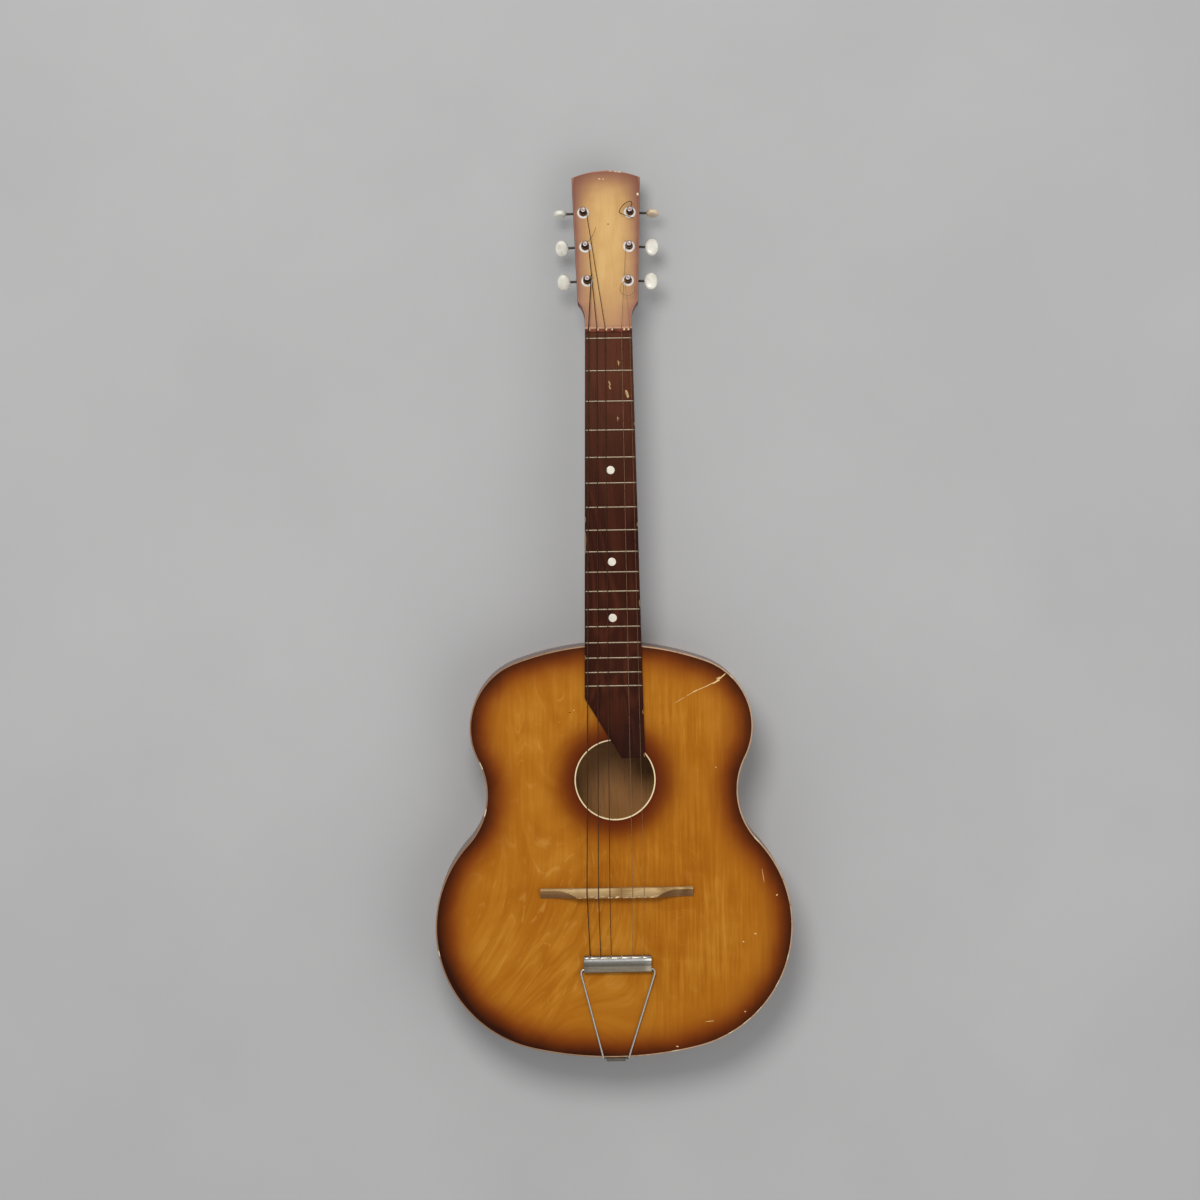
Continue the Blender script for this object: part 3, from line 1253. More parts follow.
def make_small_parts():
    frames = []
    for side in (-1, 1):
        for k, y in enumerate(PLATE_SCREW_YS):
            twist = turned_by(37 * k + 20 * side, "Z")
            frames.append(proper(row_frame(side)) @ shifted(0, y, -HEAD_T) @ twist)
    plate_screws = repeated("plate_screws", screw_shape(1.1, 9, PLATE_T), frames, "dull_wire")
    frames = []
    for x in (-1, 1):
        for z in (-1, 1):
            place = shifted(x * (BRACKET_W / 2 - 6), -BODY_L / 2, KNUCKLE_Z - 21 + z * 13)
            frames.append(place @ turned_by(-90, "X") @ turned_by(25 * x + 60 * z, "Z"))
    bracket_screws = repeated("bracket_screws", screw_shape(1.5, 12, BRACKET_T), frames, "dull_wire")
    shape = shape_of(plate_screws) + shape_of(bracket_screws)
    piece("slotted_screws", shape, "root", "dull_wire", ("wood_screws",), 30)

    bore = FERRULE_HOLE_R
    ferrule = turned([(bore, -5), (bore, FERRULE_T - 0.35), (bore + 0.3, FERRULE_T), (bore + 0.9, FERRULE_T),
                      (FERRULE_R - 0.55, FERRULE_T * 0.62), (FERRULE_R - 0.05, FERRULE_T * 0.3),
                      (FERRULE_R, 0.02), (bore + 0.58, 0), (bore + 0.58, -5), (bore, -5)], 48)
    frames = [proper(post_frame(i)) for i in range(6)]
    ferrules = repeated("post_ferrules", ferrule, frames, "ferrule_plate")
    seat(ferrules, "root", ("ferrules",), angle=35)

    dot = turned([(0, -1.5), (4.18, -1.5), (4.2, -0.06), (4.1, 0.0), (2.6, 0.04), (0, 0.05)], 48)
    frames = [shifted(NECK_X, (fret_y(n) + fret_y(n - 1)) / 2, BOARD_Z) for n in DOT_FRETS]
    dots = repeated("inlaid_dots", dot, frames, "dot_inlay")
    seat(dots, "root", ("position_dots",), angle=35)

    frets = grown_alone("fret_wires", fret_tree, "fret_wire", {
        "Count": 17, "Scale Length": SCALE_L * MM, "Half Width": (BOARD_W0 / 2 - 0.35) * MM,
        "Taper": BOARD_TAPER, "Crown Width": 2 * MM, "Crown Height": 0.98 * MM})
    frets.data.transform(shifted(NECK_X * MM, ZERO_Y * MM, BOARD_Z * MM))
    seat(frets, "root", ("frets",), angle=40)


# ---- finishes ---------------------------------------------------------------------------
def make_figure_group():
    """Rotary-cut plywood: flowing bands, thin broken lines along them, straight streaks, pores and clouds."""
    takes = [("Vector", "Vector"), ("Bands", "Float", 10.0)]
    gives = [(name, "Float") for name in ("Flow", "Lines", "Streaks", "Pores", "Clouds")]
    bench, given, out = new_tree("ply_figure", "ShaderNodeTree", takes, gives)
    place = given["Vector"]
    turns = bench.noise(bench.scaled(place, 15, 4.4, 15), 1.0, 2.2, 0.52, 0.9) * given["Bands"] * TURN
    flow = bench.spread(bench.math("SINE", turns), -1.0, 1.0)
    fine = bench.spread(bench.math("SINE", turns * 2.6), 0.72, 1.0)
    broken = bench.spread(bench.noise(place, 70.0, 3.0, 0.6), 0.46, 0.62)
    streaks = bench.noise(bench.scaled(place, 260, 14, 260), 1.0, 3.0, 0.6)
    pores = bench.noise(bench.scaled(place, 1500, 34, 1500), 1.0, 2.0, 0.6)
    bench.feed(out["Flow"], flow * 0.55 + streaks * 0.45)
    bench.feed(out["Lines"], fine * broken)
    bench.feed(out["Streaks"], streaks)
    bench.feed(out["Pores"], bench.spread(pores, 0.52, 0.72))
    bench.feed(out["Clouds"], bench.noise(place, 17.0, 3.0, 0.55))
    return bench.tree


def make_scratch_group():
    """A scratch or chip through the finish, from one point to another in metres."""
    takes = [("Vector", "Vector"), ("From", "Vector"), ("To", "Vector"), ("Width", "Float", 0.001),
             ("Ragged", "Float", 0.0)]
    bench, given, out = new_tree("bare_scratch", "ShaderNodeTree", takes, [("Mask", "Float")])
    run = bench.vector("SUBTRACT", given["To"], given["From"])
    reach = bench.vector("SUBTRACT", given["Vector"], given["From"])
    length = bench.vector("DOT_PRODUCT", run, run, "Value") + 1e-9
    along = bench.math("DIVIDE", bench.vector("DOT_PRODUCT", reach, run, "Value"), length, clamp=True)
    nearest = bench.vector("SCALE", run, Scale=along)
    off = bench.vector("LENGTH", bench.vector("SUBTRACT", reach, nearest), key="Value")
    from_middle = bench.math("ABSOLUTE", along * 2.0 - 1.0)
    taper = 1.0 - bench.math("POWER", from_middle, 3.0) * 0.65
    width = bench.math("MAXIMUM", given["Width"] * (taper + given["Ragged"]), 1e-6)
    bench.feed(out["Mask"], bench.spread(1.0 - off / width, 0.0, 0.35))
    return bench.tree


def make_tarnish_group():
    """Dull spots, wiping marks and fine scratches on plated metal."""
    takes = [("Vector", "Vector"), ("Scale", "Float", 1.0)]
    gives = [("Spots", "Float"), ("Wipes", "Float")]
    bench, given, out = new_tree("worn_plating", "ShaderNodeTree", takes, gives)
    at = bench.vector("SCALE", given["Vector"], Scale=given["Scale"])
    bench.feed(out["Spots"], bench.spread(bench.noise(at, 420.0, 5.0, 0.68), 0.48, 0.7))
    bench.feed(out["Wipes"], bench.noise(bench.scaled(at, 90, 1500, 700), 1.0, 3.0, 0.6))
    return bench.tree


class Finish(Bench):
    """A bench on a new material, with its Principled shader's inputs and the object's coordinates."""

    def __init__(self, name, metallic=0.0, coat=0.0, coat_rough=0.1, level=0.5):
        material = bpy.data.materials.new(name)
        material.use_nodes = True
        super().__init__(material.node_tree)
        self.shader = self.tree.nodes["Principled BSDF"].inputs
        self.shader["Metallic"].default_value = metallic
        self.shader["Coat Weight"].default_value = coat
        self.shader["Coat Roughness"].default_value = coat_rough
        self.shader["Specular IOR Level"].default_value = level
        self.place = self.add("ShaderNodeTexCoord", key="Object")
        finishes[name] = material

    def figured(self, bands, place=None):
        return self.group(figure_group, Vector=place or self.place, Bands=bands)

    def done(self, colour, rough, height, strength, distance):
        """Colour, roughness, and a bump of the given strength and of distance metres."""
        bump = self.add("ShaderNodeBump",
                        named={"Strength": strength, "Distance": distance, "Height": height})
        self.feed(self.shader["Base Color"], colour)
        self.feed(self.shader["Roughness"], rough)
        self.feed(self.shader["Normal"], bump)


# Marks through the finish: from x, y to x, y, and width, in millimetres, in the shared frame or the head's own
TOP_SCRATCHES = ((64.4, 148.7, 75, 154.8, 0.22), (76, 155.3, 84, 160, 0.26), (82, 159, 88.5, 162, 0.6),
                 (87, 161.4, 96, 164.9, 0.42), (93.5, 163.8, 104, 168.8, 0.5),
                 (102.5, 167.6, 110, 171.4, 0.9), (107, 170.8, 112.8, 174.8, 0.9),
                 (111.2, 173.4, 116, 177.8, 0.7), (106.4, 172.4, 110.2, 174.4, 0.45),
                 (165.5, -46.2, 164, -47.4, 0.7), (179, -57, 180.5, -59, 0.7),
                 (141.5, -85.3, 143.5, -86, 0.7), (129.5, -93.2, 131, -94, 0.7),
                 (186, -90.5, 187.2, -92, 0.6), (177.5, -107.5, 178.5, -109.5, 0.7),
                 (181, -118, 182.5, -119, 0.6), (171.5, -138, 173, -139, 0.7),
                 (130.5, -164, 131.5, -165, 0.7), (91, -174, 99.5, -173.4, 0.35),
                 (61, -198.5, 63, -199, 0.7), (104.3, 83.6, 105.3, 82.6, 0.5), (-38, 143, -37, 142.6, 0.6),
                 (150, -20, 152, -34, 0.25))
TOP_PITS = ((51.6, 129, 52, 128.8, 0.7), (-42.5, 140.8, -40.5, 140.6, 0.4), (-20, -150, -19.6, -150, 0.4))
HEAD_SCRATCHES = ((4.5, 166.4, 9, 166.2, 0.9), (13.5, 166, 16.5, 165.7, 0.8), (31.6, 141, 32.4, 138, 1.3),
                  (-7.5, 156.3, -5.5, 155.9, 0.6), (-3.5, 156, -2, 155.7, 0.5),
                  (12.5, 163.8, 15, 163.2, 0.7), (33.6, 150, 33.9, 147, 0.6), (-29.8, 60, -29.9, 55, 0.4))
BOARD_SCRATCHES = ((2.4, 474, 4.2, 470.2, 0.8), (4.4, 471.2, 2.4, 468.4, 0.7),
                   (2.6, 468.8, 4.4, 465.8, 0.9), (19.6, 464.2, 21.9, 456.8, 1.8),
                   (12.2, 494.6, 12.8, 489.4, 0.5), (11, 493, 14.6, 492.4, 0.35), (11, 439, 11, 433, 0.35),
                   (9.6, 436.4, 12.6, 436, 0.4), (-24.5, 316, -24.3, 300, 0.4))


def make_sunburst():
    bench = Finish("sunburst_top", coat=0.02, coat_rough=0.15, level=0.05)
    place = bench.place
    x, y = bench.apart(place)[:2]
    left = bench.spread(x, 0.05, -0.06, kind="SMOOTHSTEP")
    below = bench.math("MINIMUM", y, 0.0)
    leaning = bench.vector("ADD", place, bench.joined(below * below * (left * 3.0), 0.0, 0.0))
    figure = bench.figured(9.0, leaning)
    flow = (figure["Flow"] - 0.5) * bench.spread(left, 0.0, 1.0, 0.1, 0.3)
    streaks = (figure["Streaks"] - 0.5) * bench.spread(left, 0.0, 1.0, 1.0, 0.35)
    clouds = (figure["Clouds"] - 0.5) * 0.8
    tone = flow + streaks + (clouds + bench.spread(y, 0.0, 0.15, 0.5, 0.6))
    wood = bench.ramp(tone, (0.2, 160, 91, 11), (0.45, 171, 104, 19), (0.6, 181, 115, 28),
                      (0.85, 196, 134, 45))
    wood = bench.mix(figure["Lines"] * bench.spread(left, 0.0, 1.0, 0.13, 0.46), wood, (205, 146, 66))
    wood = bench.mix(figure["Pores"] * 0.16, wood, (140, 78, 16))
    # the dark spray along the edge, wider at the lower left, and the halo round the sound hole
    sprayed = (bench.noise(place, 24.0, 3.0, 0.5) - 0.5) * 0.009
    low_left = bench.spread(x + y, -0.15, -0.32, 0.0, 0.006)
    near_ends = bench.spread(bench.math("ABSOLUTE", y), 0.16, 0.2, 0.0, 0.002)
    edge = bench.mark("edge")
    amount = bench.spread(edge + sprayed - low_left + near_ends, 0.0, 0.06)
    tint = bench.ramp(amount, (0.0, 46, 17, 5), (0.06, 66, 23, 4), (0.115, 82, 29, 4), (0.165, 98, 38, 5),
                      (0.25, 123, 56, 9), (0.34, 142, 74, 14), (0.5, 164, 96, 18), (0.7, 176, 109, 23))
    cover = bench.ramp(amount, (0.0, 1), (0.25, 0.9), (0.5, 0.6), (0.95, 0))
    colour = bench.mix(cover, wood, tint)
    centre = bench.vector("SUBTRACT", bench.scaled(place, 1, 1, 0), (NECK_X * MM, HOLE_Y * MM, 0))
    ring = bench.vector("LENGTH", centre, key="Value") - HOLE_R * MM + sprayed * 0.6
    halo = bench.spread(ring, 0.0, 0.045)
    halo_tint = bench.ramp(halo, (0.0, 82, 28, 3), (0.1, 96, 34, 3), (0.22, 106, 43, 5), (0.4, 133, 66, 8),
                           (0.65, 159, 93, 16), (0.9, 174, 108, 22))
    halo_cover = bench.ramp(halo, (0.0, 1), (0.35, 0.9), (0.65, 0.5), (1.0, 0))
    colour = bench.mix(halo_cover, colour, halo_tint)
    scratch = bench.scratches(place, TOP_SCRATCHES, BODY_D - 0.02, bench.ragged(place))
    pits = bench.scratches(place, TOP_PITS, BODY_D - 0.02, bench.ragged(place))
    colour = bench.mix(scratch, colour, (232, 196, 136))
    colour = bench.mix(pits, colour, (30, 14, 8))
    colour = bench.mix(bench.spread(edge, -0.0005, -0.0001, 1.0, 0.0), colour, (176, 134, 84))
    rough = 0.34 + figure["Clouds"] * 0.12 + scratch * 0.3
    bench.done(colour, rough, figure["Pores"] * -0.12 - scratch, 0.4, 0.0003)


def make_stained(name, along, pale):
    """Dark red-brown stained veneer: along its run for the sides, with a pale heart for the back."""
    bench = Finish(name, coat=0.45, coat_rough=0.12, level=0.25)
    place = bench.place
    way = bench.joined(bench.apart(place)[2], bench.mark("run"), 0.0) if along else place
    figure = bench.figured(9.0, way)
    tone = figure["Flow"] * 0.4 + figure["Clouds"] * 0.6
    wood = bench.ramp(tone, (0.1, 68, 26, 10), (0.5, 86, 35, 14), (0.9, 104, 46, 19))
    if pale:
        edge = bench.mark("edge")
        middle = bench.spread(edge + figure["Clouds"] * 0.012, 0.012, 0.075, kind="SMOOTHSTEP")
        heart = bench.ramp(tone, (0.15, 112, 54, 16), (0.5, 138, 74, 24), (0.85, 160, 94, 36))
        wood = bench.mix(middle, wood, heart)
        under = bench.spread(edge, -0.0005, -0.0001, 1.0, 0.0)
        wood = bench.mix(under, wood, (174, 120, 64))
        bench.feed(bench.shader["Coat Weight"], bench.spread(under, 0.0, 1.0, 0.45, 0.0))
    wood = bench.mix(figure["Pores"] * 0.4, wood, (36, 14, 9))
    rubbed = bench.spread(bench.noise(place, 60.0, 5.0, 0.7), 0.66, 0.72)
    wood = bench.mix(rubbed * 0.35, wood, (150, 92, 52))
    bench.done(wood, 0.34 + figure["Clouds"] * 0.2, figure["Pores"] * -1.0, 0.35, 0.0002)


def make_binding(name, new, old):
    bench = Finish(name, level=0.2)
    grime = bench.noise(bench.place, 130.0, 5.0, 0.65)
    colour = bench.ramp(grime, (0.2, *old), (0.48, *new), (0.8, *new))
    if name == "cream_binding":
        aged = bench.spread(bench.apart(bench.place)[0] + grime * 0.1, 0.12, -0.06)
        colour = bench.mix(aged * 0.7, colour, (126, 80, 46))
        colour = bench.mix(bench.spread(bench.mark("chipped"), 0.05, 0.5), colour, (236, 212, 172))
    bench.done(colour, 0.36 + grime * 0.2, bench.noise(bench.place, 900.0, 3.0), 0.15, 0.0001)


def make_raw_wood():
    bench = Finish("raw_wood", level=0.15)
    figure = bench.figured(8.0)
    colour = bench.ramp(figure["Flow"], (0.2, 166, 124, 76), (0.5, 190, 148, 96), (0.8, 206, 168, 116))
    colour = bench.mix(figure["Pores"] * 0.5, colour, (112, 78, 46))
    bench.done(colour, 0.7 + figure["Clouds"] * 0.15, figure["Pores"], 0.4, 0.0003)


def make_neck_finish():
    bench = Finish("neck_wood", coat=0.05, coat_rough=0.15, level=0.18)
    from_nut = bench.vector("SUBTRACT", bench.place, (NECK_X * MM, HEAD_Y * MM, BODY_D * MM))
    in_head = bench.add("ShaderNodeVectorRotate", from_nut, rotation_type="X_AXIS",
                        named={"Angle": math.radians(HEAD_ANGLE)})
    figure = bench.figured(6.0, in_head)
    tone = figure["Flow"] * 0.3 + figure["Clouds"] * 0.7
    across, up = bench.apart(in_head)[:2]
    edge = bench.mark("edge")
    # the pale face, sprayed darker along its edges, its corners, its crown and its foot
    gold = bench.ramp(tone, (0.25, 204, 158, 95), (0.5, 218, 175, 112), (0.75, 225, 186, 124))
    sprayed = (bench.noise(bench.place, 60.0, 3.0, 0.5) - 0.5) * 0.005
    amount = bench.spread(edge + sprayed, 0.0, 0.025)
    tint = bench.ramp(amount, (0.0, 136, 86, 74), (0.18, 162, 114, 90), (0.5, 192, 144, 98),
                      (1.0, 216, 172, 108))
    colour = bench.mix(bench.ramp(amount, (0.0, 1), (0.4, 0.75), (1.0, 0)), gold, tint)
    corner = bench.spread(up, 0.118, 0.165) + bench.spread(bench.math("ABSOLUTE", across), 0.012, 0.036)
    colour = bench.mix(bench.spread(corner, 0.6, 1.8), colour, (116, 72, 64))
    colour = bench.mix(bench.spread(up + sprayed, 0.126, 0.166) * 0.5, colour, (146, 94, 70))
    colour = bench.mix(bench.spread(up, 0.052, 0.006) * 0.6, colour, (176, 128, 100))
    colour = bench.mix(bench.spread(edge, 0.0011, 0.0007) * 0.5, colour, (212, 168, 146))
    # the stained rest of the neck
    back = bench.ramp(tone, (0.25, 78, 32, 14), (0.5, 102, 46, 19), (0.75, 126, 64, 28))
    colour = bench.mix(bench.spread(edge, -0.0005, -0.0001, 1.0, 0.0), colour, back)
    # chips in the crown and the face, and a pin hole
    nicked = bench.spread(bench.noise(in_head, 330.0, 3.0, 0.6), 0.5, 0.55)
    for start, stop, value in ((0.0014, 0.0009, edge), (0.003, 0.0045, across), (0.0165, 0.015, across),
                               (0.15, 0.158, up), (-0.0005, -0.0001, edge)):
        nicked = nicked * bench.spread(value, start, stop)
    scratch = bench.scratches(in_head, HEAD_SCRATCHES, 0, bench.ragged(in_head))
    hole = bench.scratches(in_head, ((1.5, 108, 1.5, 108.2, 1.9),), 0)
    colour = bench.mix(bench.math("MAXIMUM", scratch, nicked), colour, (240, 218, 184))
    colour = bench.mix(hole, colour, (30, 16, 10))
    colour = bench.mix(figure["Pores"] * 0.15, colour, (130, 80, 40))
    height = figure["Pores"] * -0.15 - bench.math("MAXIMUM", scratch, hole)
    bench.done(colour, 0.34 + figure["Clouds"] * 0.16, height, 0.45, 0.0003)


def make_board_finish():
    bench = Finish("stained_board", coat=0.01, coat_rough=0.2, level=0.05)
    place = bench.place
    y = bench.apart(place)[1]
    figure = bench.figured(7.0)
    tone = figure["Flow"] * 0.55 + figure["Clouds"] * 0.45
    wood = bench.ramp(tone, (0.25, 48, 18, 8), (0.5, 61, 26, 14), (0.78, 80, 36, 20))
    inner = bench.spread(bench.mark("edge") + figure["Clouds"] * 0.004, 0.001, 0.011)
    wood = bench.mix(inner, bench.mix(0.55, wood, (40, 16, 12)), wood)
    wood = bench.mix(bench.spread(y, 0.33, 0.48) * 0.5, wood, (104, 60, 42))
    wood = bench.mix(bench.spread(y, 0.165, 0.11) * 0.7, wood, (40, 17, 12))
    wood = bench.mix(figure["Pores"] * 0.5, wood, (38, 16, 12))
    chips = bench.scratches(place, BOARD_SCRATCHES, BOARD_Z, bench.ragged(place))
    crumbs = bench.spread(bench.noise(place, 620.0, 4.0, 0.7), 0.42, 0.56, 0.25, 1.0)
    wood = bench.mix(chips * crumbs, wood, (216, 182, 130))
    wood = bench.mix(bench.spread(bench.mark("chipped"), 0.3, 0.8), wood, (176, 128, 84))
    bench.done(wood, 0.42 + figure["Clouds"] * 0.2, figure["Pores"] * -0.3 - chips, 0.5, 0.0003)


def make_nut_finish():
    bench = Finish("worn_nut", level=0.2)
    place = bench.place
    figure = bench.figured(6.0, bench.scaled(place, 1, 0.2, 1))
    wood = bench.ramp(figure["Flow"], (0.2, 70, 27, 18), (0.6, 104, 46, 28), (0.9, 126, 62, 38))
    upper = bench.spread(bench.apart(place)[1], (HEAD_Y - 2.3) * MM, (HEAD_Y - 1.3) * MM)
    wood = bench.mix(upper * 0.85, wood, (208, 160, 128))
    y = HEAD_Y - 3.2
    chips = [(x - 0.8, y, x + 0.8, y + 0.8, 1.2) for x in (-16.5, -8, 0.6, 7, 18.8, 23.2)]
    wood = bench.mix(bench.scratches(place, chips, BOARD_Z + NUT_H), wood, (226, 196, 150))
    bench.done(wood, 0.4 + figure["Clouds"] * 0.2, bench.noise(place, 1400.0, 3.0), 0.3, 0.0002)


def make_bridge_finish():
    bench = Finish("bridge_wood", level=0.15)
    place = bench.place
    x, y, z = bench.apart(place)
    figure = bench.figured(7.0, bench.joined(y, x, z))
    pale = bench.ramp(figure["Flow"], (0.2, 166, 132, 84), (0.55, 192, 158, 106), (0.9, 212, 182, 134))
    grey = bench.ramp(figure["Flow"], (0.2, 116, 86, 54), (0.6, 138, 104, 68), (0.9, 162, 128, 90))
    scooped = bench.spread(bench.mark("scooped"), 0.25, 0.6)
    wood = bench.mix(scooped, pale, grey)
    wood = bench.mix(figure["Pores"] * 0.55, wood, (92, 66, 44))
    stain = bench.spread(bench.noise(place, 70.0, 4.0, 0.6), 0.56, 0.72)
    wood = bench.mix(stain * 0.4, wood, (126, 96, 66))
    front = bench.spread(y, (BRIDGE_Y + 3) * MM, (BRIDGE_Y - 5) * MM, 0.0, 0.6)
    wood = bench.mix(front, wood, (112, 76, 46))
    lip = bench.spread(y, (BRIDGE_Y - 2.6) * MM, (BRIDGE_Y - 3.6) * MM) * bench.spread(scooped, 0.3, 0.0)
    nicks = bench.spread(bench.noise(bench.scaled(place, 0.5, 1, 1), 330.0, 3.0, 0.6), 0.54, 0.58)
    wood = bench.mix(lip * nicks, wood, (226, 196, 158))
    bench.done(wood, 0.55 + figure["Clouds"] * 0.2, figure["Pores"] * -1.0, 0.5, 0.0003)


def make_metal(name, clean, dull, rough, dull_rough, metallic=1.0):
    bench = Finish(name, metallic=metallic)
    wear = bench.group(tarnish_group, Vector=bench.place, Scale=1.0)
    tone = bench.math("ADD", wear["Spots"] * 0.35, (wear["Wipes"] - 0.4) * 0.3, clamp=True)
    rough = bench.spread(tone, 0.0, 1.0, rough, dull_rough)
    bench.done(bench.mix(tone, clean, dull), rough, wear["Wipes"], 0.12, 0.0001)


def make_peg_finish():
    """Dark tarnished pegs with a pale tip where the tops were wiped."""
    bench = Finish("peg_steel", metallic=0.4, level=0.3)
    wear = bench.group(tarnish_group, Vector=bench.place, Scale=1.0)
    dark = bench.mix(wear["Spots"], (48, 33, 35), (22, 15, 17))
    tip = bench.spread(bench.mark("tip") + wear["Spots"] * -0.25, 0.1, 0.75)
    rough = bench.spread(wear["Spots"], 0.0, 1.0, 0.34, 0.6)
    bench.done(bench.mix(tip, dark, (176, 160, 158)), rough, wear["Wipes"], 0.12, 0.0001)


def make_bar_finish():
    """Folded plated sheet, with bright and dull stripes along it where it was rubbed."""
    bench = Finish("bar_plate", metallic=1.0)
    wear = bench.group(tarnish_group, Vector=bench.place, Scale=0.8)
    across = bench.spread(bench.apart(bench.place)[1], (BAR_Y - BAR_W) * MM, BAR_Y * MM)
    stripes = bench.ramp(across, (0.0, 140, 128, 112), (0.1, 156, 144, 126), (0.3, 164, 155, 138),
                         (0.42, 122, 116, 106), (0.56, 150, 146, 138), (0.66, 206, 204, 200),
                         (0.74, 232, 232, 230), (0.82, 138, 132, 124), (0.92, 176, 170, 162),
                         (1.0, 150, 142, 132))
    rubbed = bench.noise(bench.scaled(bench.place, 30, 1100, 700), 1.0, 3.0, 0.6)
    stripes = bench.mix(bench.spread(rubbed, 0.45, 0.75, 0.0, 0.5), stripes, (96, 90, 82))
    colour = bench.mix(wear["Spots"] * 0.18, stripes, (92, 84, 74))
    bench.done(colour, bench.spread(wear["Spots"], 0.0, 1.0, 0.3, 0.55), rubbed, 0.12, 0.0001)


def make_plastic(name, colour, shade):
    bench = Finish(name, coat=0.15, coat_rough=0.15)
    cloudy = bench.noise(bench.place, 160.0, 3.0, 0.5, 0.8)
    dirt = bench.spread(bench.noise(bench.place, 700.0, 4.0, 0.7), 0.55, 0.75)
    base = bench.ramp(cloudy, (0.3, *shade), (0.6, *colour))
    bench.done(bench.mix(dirt * 0.1, base, (150, 132, 104)), 0.3 + dirt * 0.2, cloudy, 0.08, 0.0002)


def make_string_finish(name, colour, dark, wound):
    bench = Finish(name, metallic=0.45, level=0.3)
    wear = bench.group(tarnish_group, Vector=bench.place, Scale=0.6)
    base = bench.mix(wear["Spots"], colour, dark)
    rough = 0.38 + wear["Spots"] * 0.25
    if wound:
        wrap = bench.math("SINE", bench.mark("run") * (TURN / WRAP_PITCH))
        base = bench.mix(bench.spread(wrap, -0.2, -1.0, 0.0, 0.6), base, (40, 26, 18))
        bench.done(base, rough, wrap, 0.6, 0.00012)
    else:
        bench.done(base, rough, wear["Wipes"], 0.2, 0.0001)


def make_dot_finish():
    bench = Finish("dot_inlay", coat=0.2, coat_rough=0.2)
    swirl = bench.noise(bench.place, 220.0, 4.0, 0.6, 2.0)
    colour = bench.ramp(swirl, (0.3, 214, 206, 190), (0.7, 238, 232, 220))
    bench.done(colour, 0.3 + swirl * 0.15, swirl, 0.06, 0.0002)


def make_finishes():
    make_sunburst()
    make_stained("stained_sides", True, False)
    make_stained("stained_back", False, True)
    make_binding("cream_binding", (196, 160, 126), (140, 100, 66))
    make_binding("hole_ring", (246, 226, 180), (212, 176, 122))
    make_raw_wood()
    make_neck_finish()
    make_board_finish()
    make_nut_finish()
    make_bridge_finish()
    make_metal("plated_steel", (206, 206, 204), (138, 134, 126), 0.22, 0.5)
    make_metal("dull_wire", (188, 186, 180), (118, 112, 102), 0.3, 0.55)
    make_metal("old_plate", (132, 126, 116), (78, 70, 60), 0.35, 0.6)
    make_metal("dark_steel", (74, 70, 66), (44, 38, 34), 0.38, 0.62)
    make_metal("ferrule_plate", (246, 246, 244), (196, 192, 186), 0.3, 0.5, 0.3)
    make_metal("gear_brass", (186, 146, 78), (98, 74, 42), 0.32, 0.6)
    make_metal("fret_wire", (146, 130, 110), (92, 80, 68), 0.34, 0.55)
    make_plastic("cream_button", (240, 238, 228), (222, 218, 204))
    make_plastic("beige_button", (228, 208, 178), (204, 182, 148))
    make_string_finish("wound_string", (84, 54, 34), (46, 28, 18), True)
    make_string_finish("plain_string", (140, 112, 84), (88, 66, 46), False)
    make_dot_finish()
    make_bar_finish()
    make_peg_finish()


def dress_inner_wood():
    """The blocks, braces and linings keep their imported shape, and get raw wood."""
    for name in ("neck_block", "tail_block", "linings", "top_braces", "back_braces"):
        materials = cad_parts[name].data.materials
        materials.clear()
        materials.append(finishes["raw_wood"])


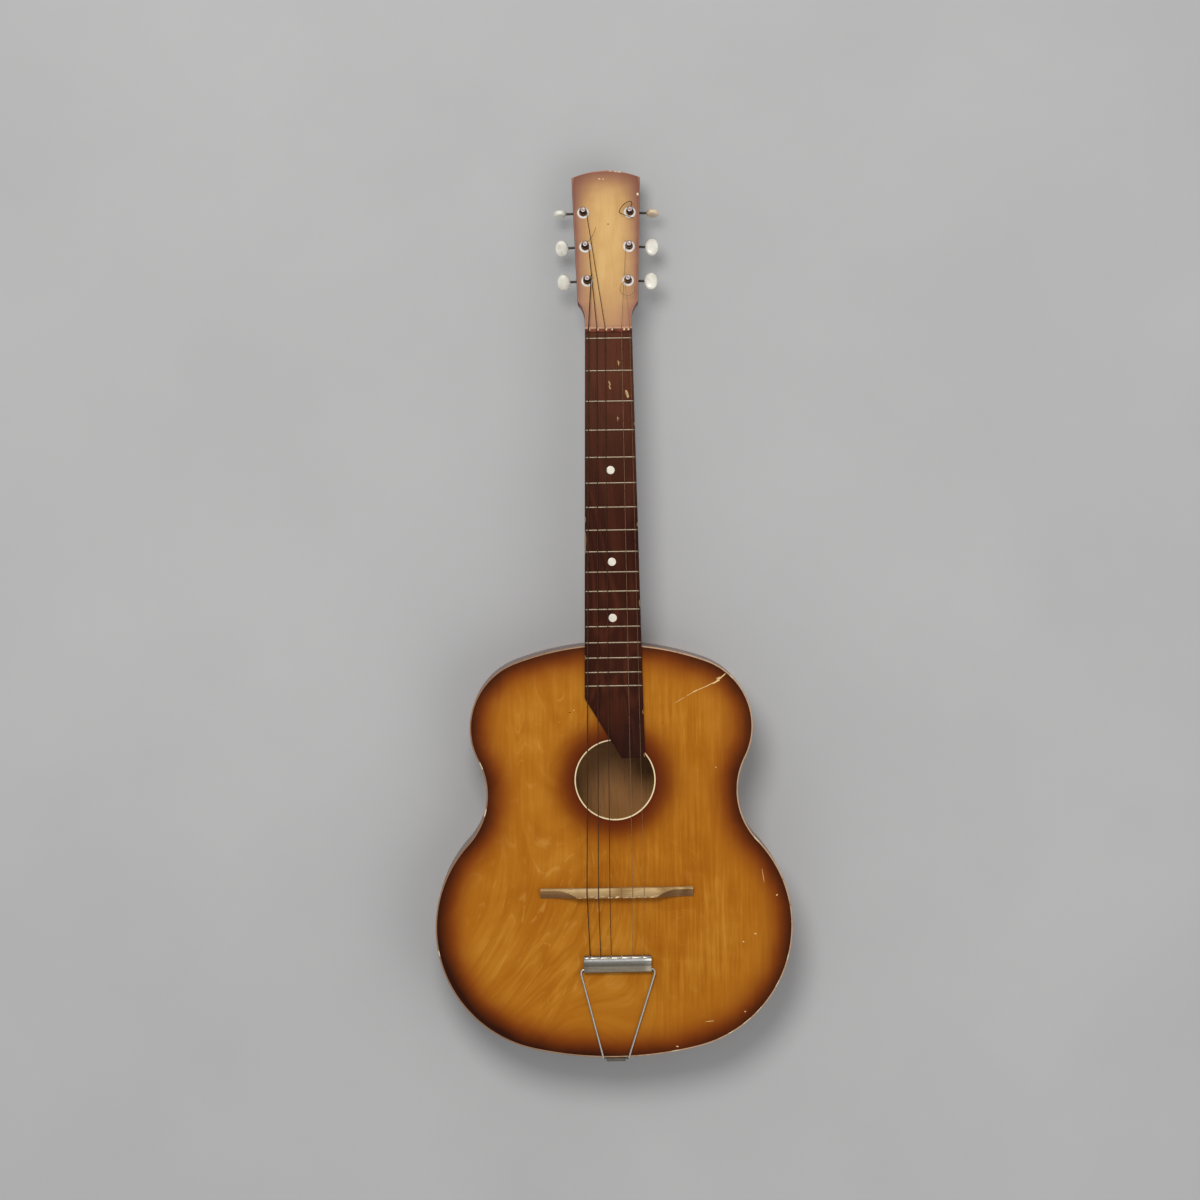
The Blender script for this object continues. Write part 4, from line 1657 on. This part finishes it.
# ---- floor, light and camera ------------------------------------------------------------
def make_floor():
    bench = Finish("pale_floor", level=0.2)
    speckle = bench.noise(bench.place, 3.0, 4.0, 0.55)
    bench.feed(bench.shader["Base Color"], bench.ramp(speckle, (0.35, 183, 184, 186), (0.65, 188, 189, 191)))
    bench.feed(bench.shader["Roughness"], 0.75 + speckle * 0.1)
    side = 12000
    rings = [[(-side, -side, z), (side, -side, z), (side, side, z), (-side, side, z)] for z in (-20, 0)]
    floor = new_object("floor", lofted(rings))
    floor.data.materials.append(finishes["pale_floor"])


def make_light():
    world = bpy.data.worlds.new("studio")
    bpy.context.scene.world = world
    world.use_nodes = True
    sky = world.node_tree.nodes["Background"]
    sky.inputs["Color"].default_value = (1.0, 0.995, 0.98, 1)
    sky.inputs["Strength"].default_value = 0.45
    for name, place, aim, size, power in (("softbox_high", (-0.4, 1.25, 2.8), (0, 0.2, 0), 1.1, 41),
                                          ("softbox_low", (1.3, -0.6, 2.7), (0, 0.1, 0), 2.0, 12)):
        data = bpy.data.lights.new(name, "AREA")
        data.shape = "DISK"
        data.size = size
        data.energy = power
        data.color = (1.0, 0.98, 0.95)
        lamp = bpy.data.objects.new(name, data)
        lamp.location = place
        lamp.rotation_euler = (Vector(aim) - Vector(place)).to_track_quat("-Z", "Y").to_euler()
        bpy.context.scene.collection.objects.link(lamp)


def make_camera():
    data = bpy.data.cameras.new("camera")
    data.sensor_width = 36
    data.lens = 149
    data.clip_end = 100
    camera = bpy.data.objects.new("camera", data)
    bpy.context.scene.collection.objects.link(camera)
    eye = Vector((-0.047, 0.404, 5.09))
    aim = Vector((-0.0095, 0.2537, 0.088))
    ahead = (aim - eye).normalized()
    roll = math.radians(0.85)
    right = ahead.cross(Vector((math.sin(roll), math.cos(roll), 0))).normalized()
    up = right.cross(ahead)
    camera.matrix_world = Matrix(((right.x, up.x, -ahead.x, eye.x), (right.y, up.y, -ahead.y, eye.y),
                                  (right.z, up.z, -ahead.z, eye.z), (0, 0, 0, 1)))
    bpy.context.scene.camera = camera


finishes = {}
bpy.context.scene.view_settings.view_transform = "Standard"
make_camera()
make_light()
figure_group = make_figure_group()
scratch_group = make_scratch_group()
tarnish_group = make_tarnish_group()
coil_tree = make_coil_tree()
repeat_tree = make_repeat_tree()
fret_tree = make_fret_tree()
make_finishes()
make_floor()
dress_inner_wood()
make_body()
make_neck()
make_fretboard()
make_nut()
make_bridge()
make_bar()
make_tail_wire()
make_bracket()
make_plates()
make_small_parts()
make_machines()
make_strings()
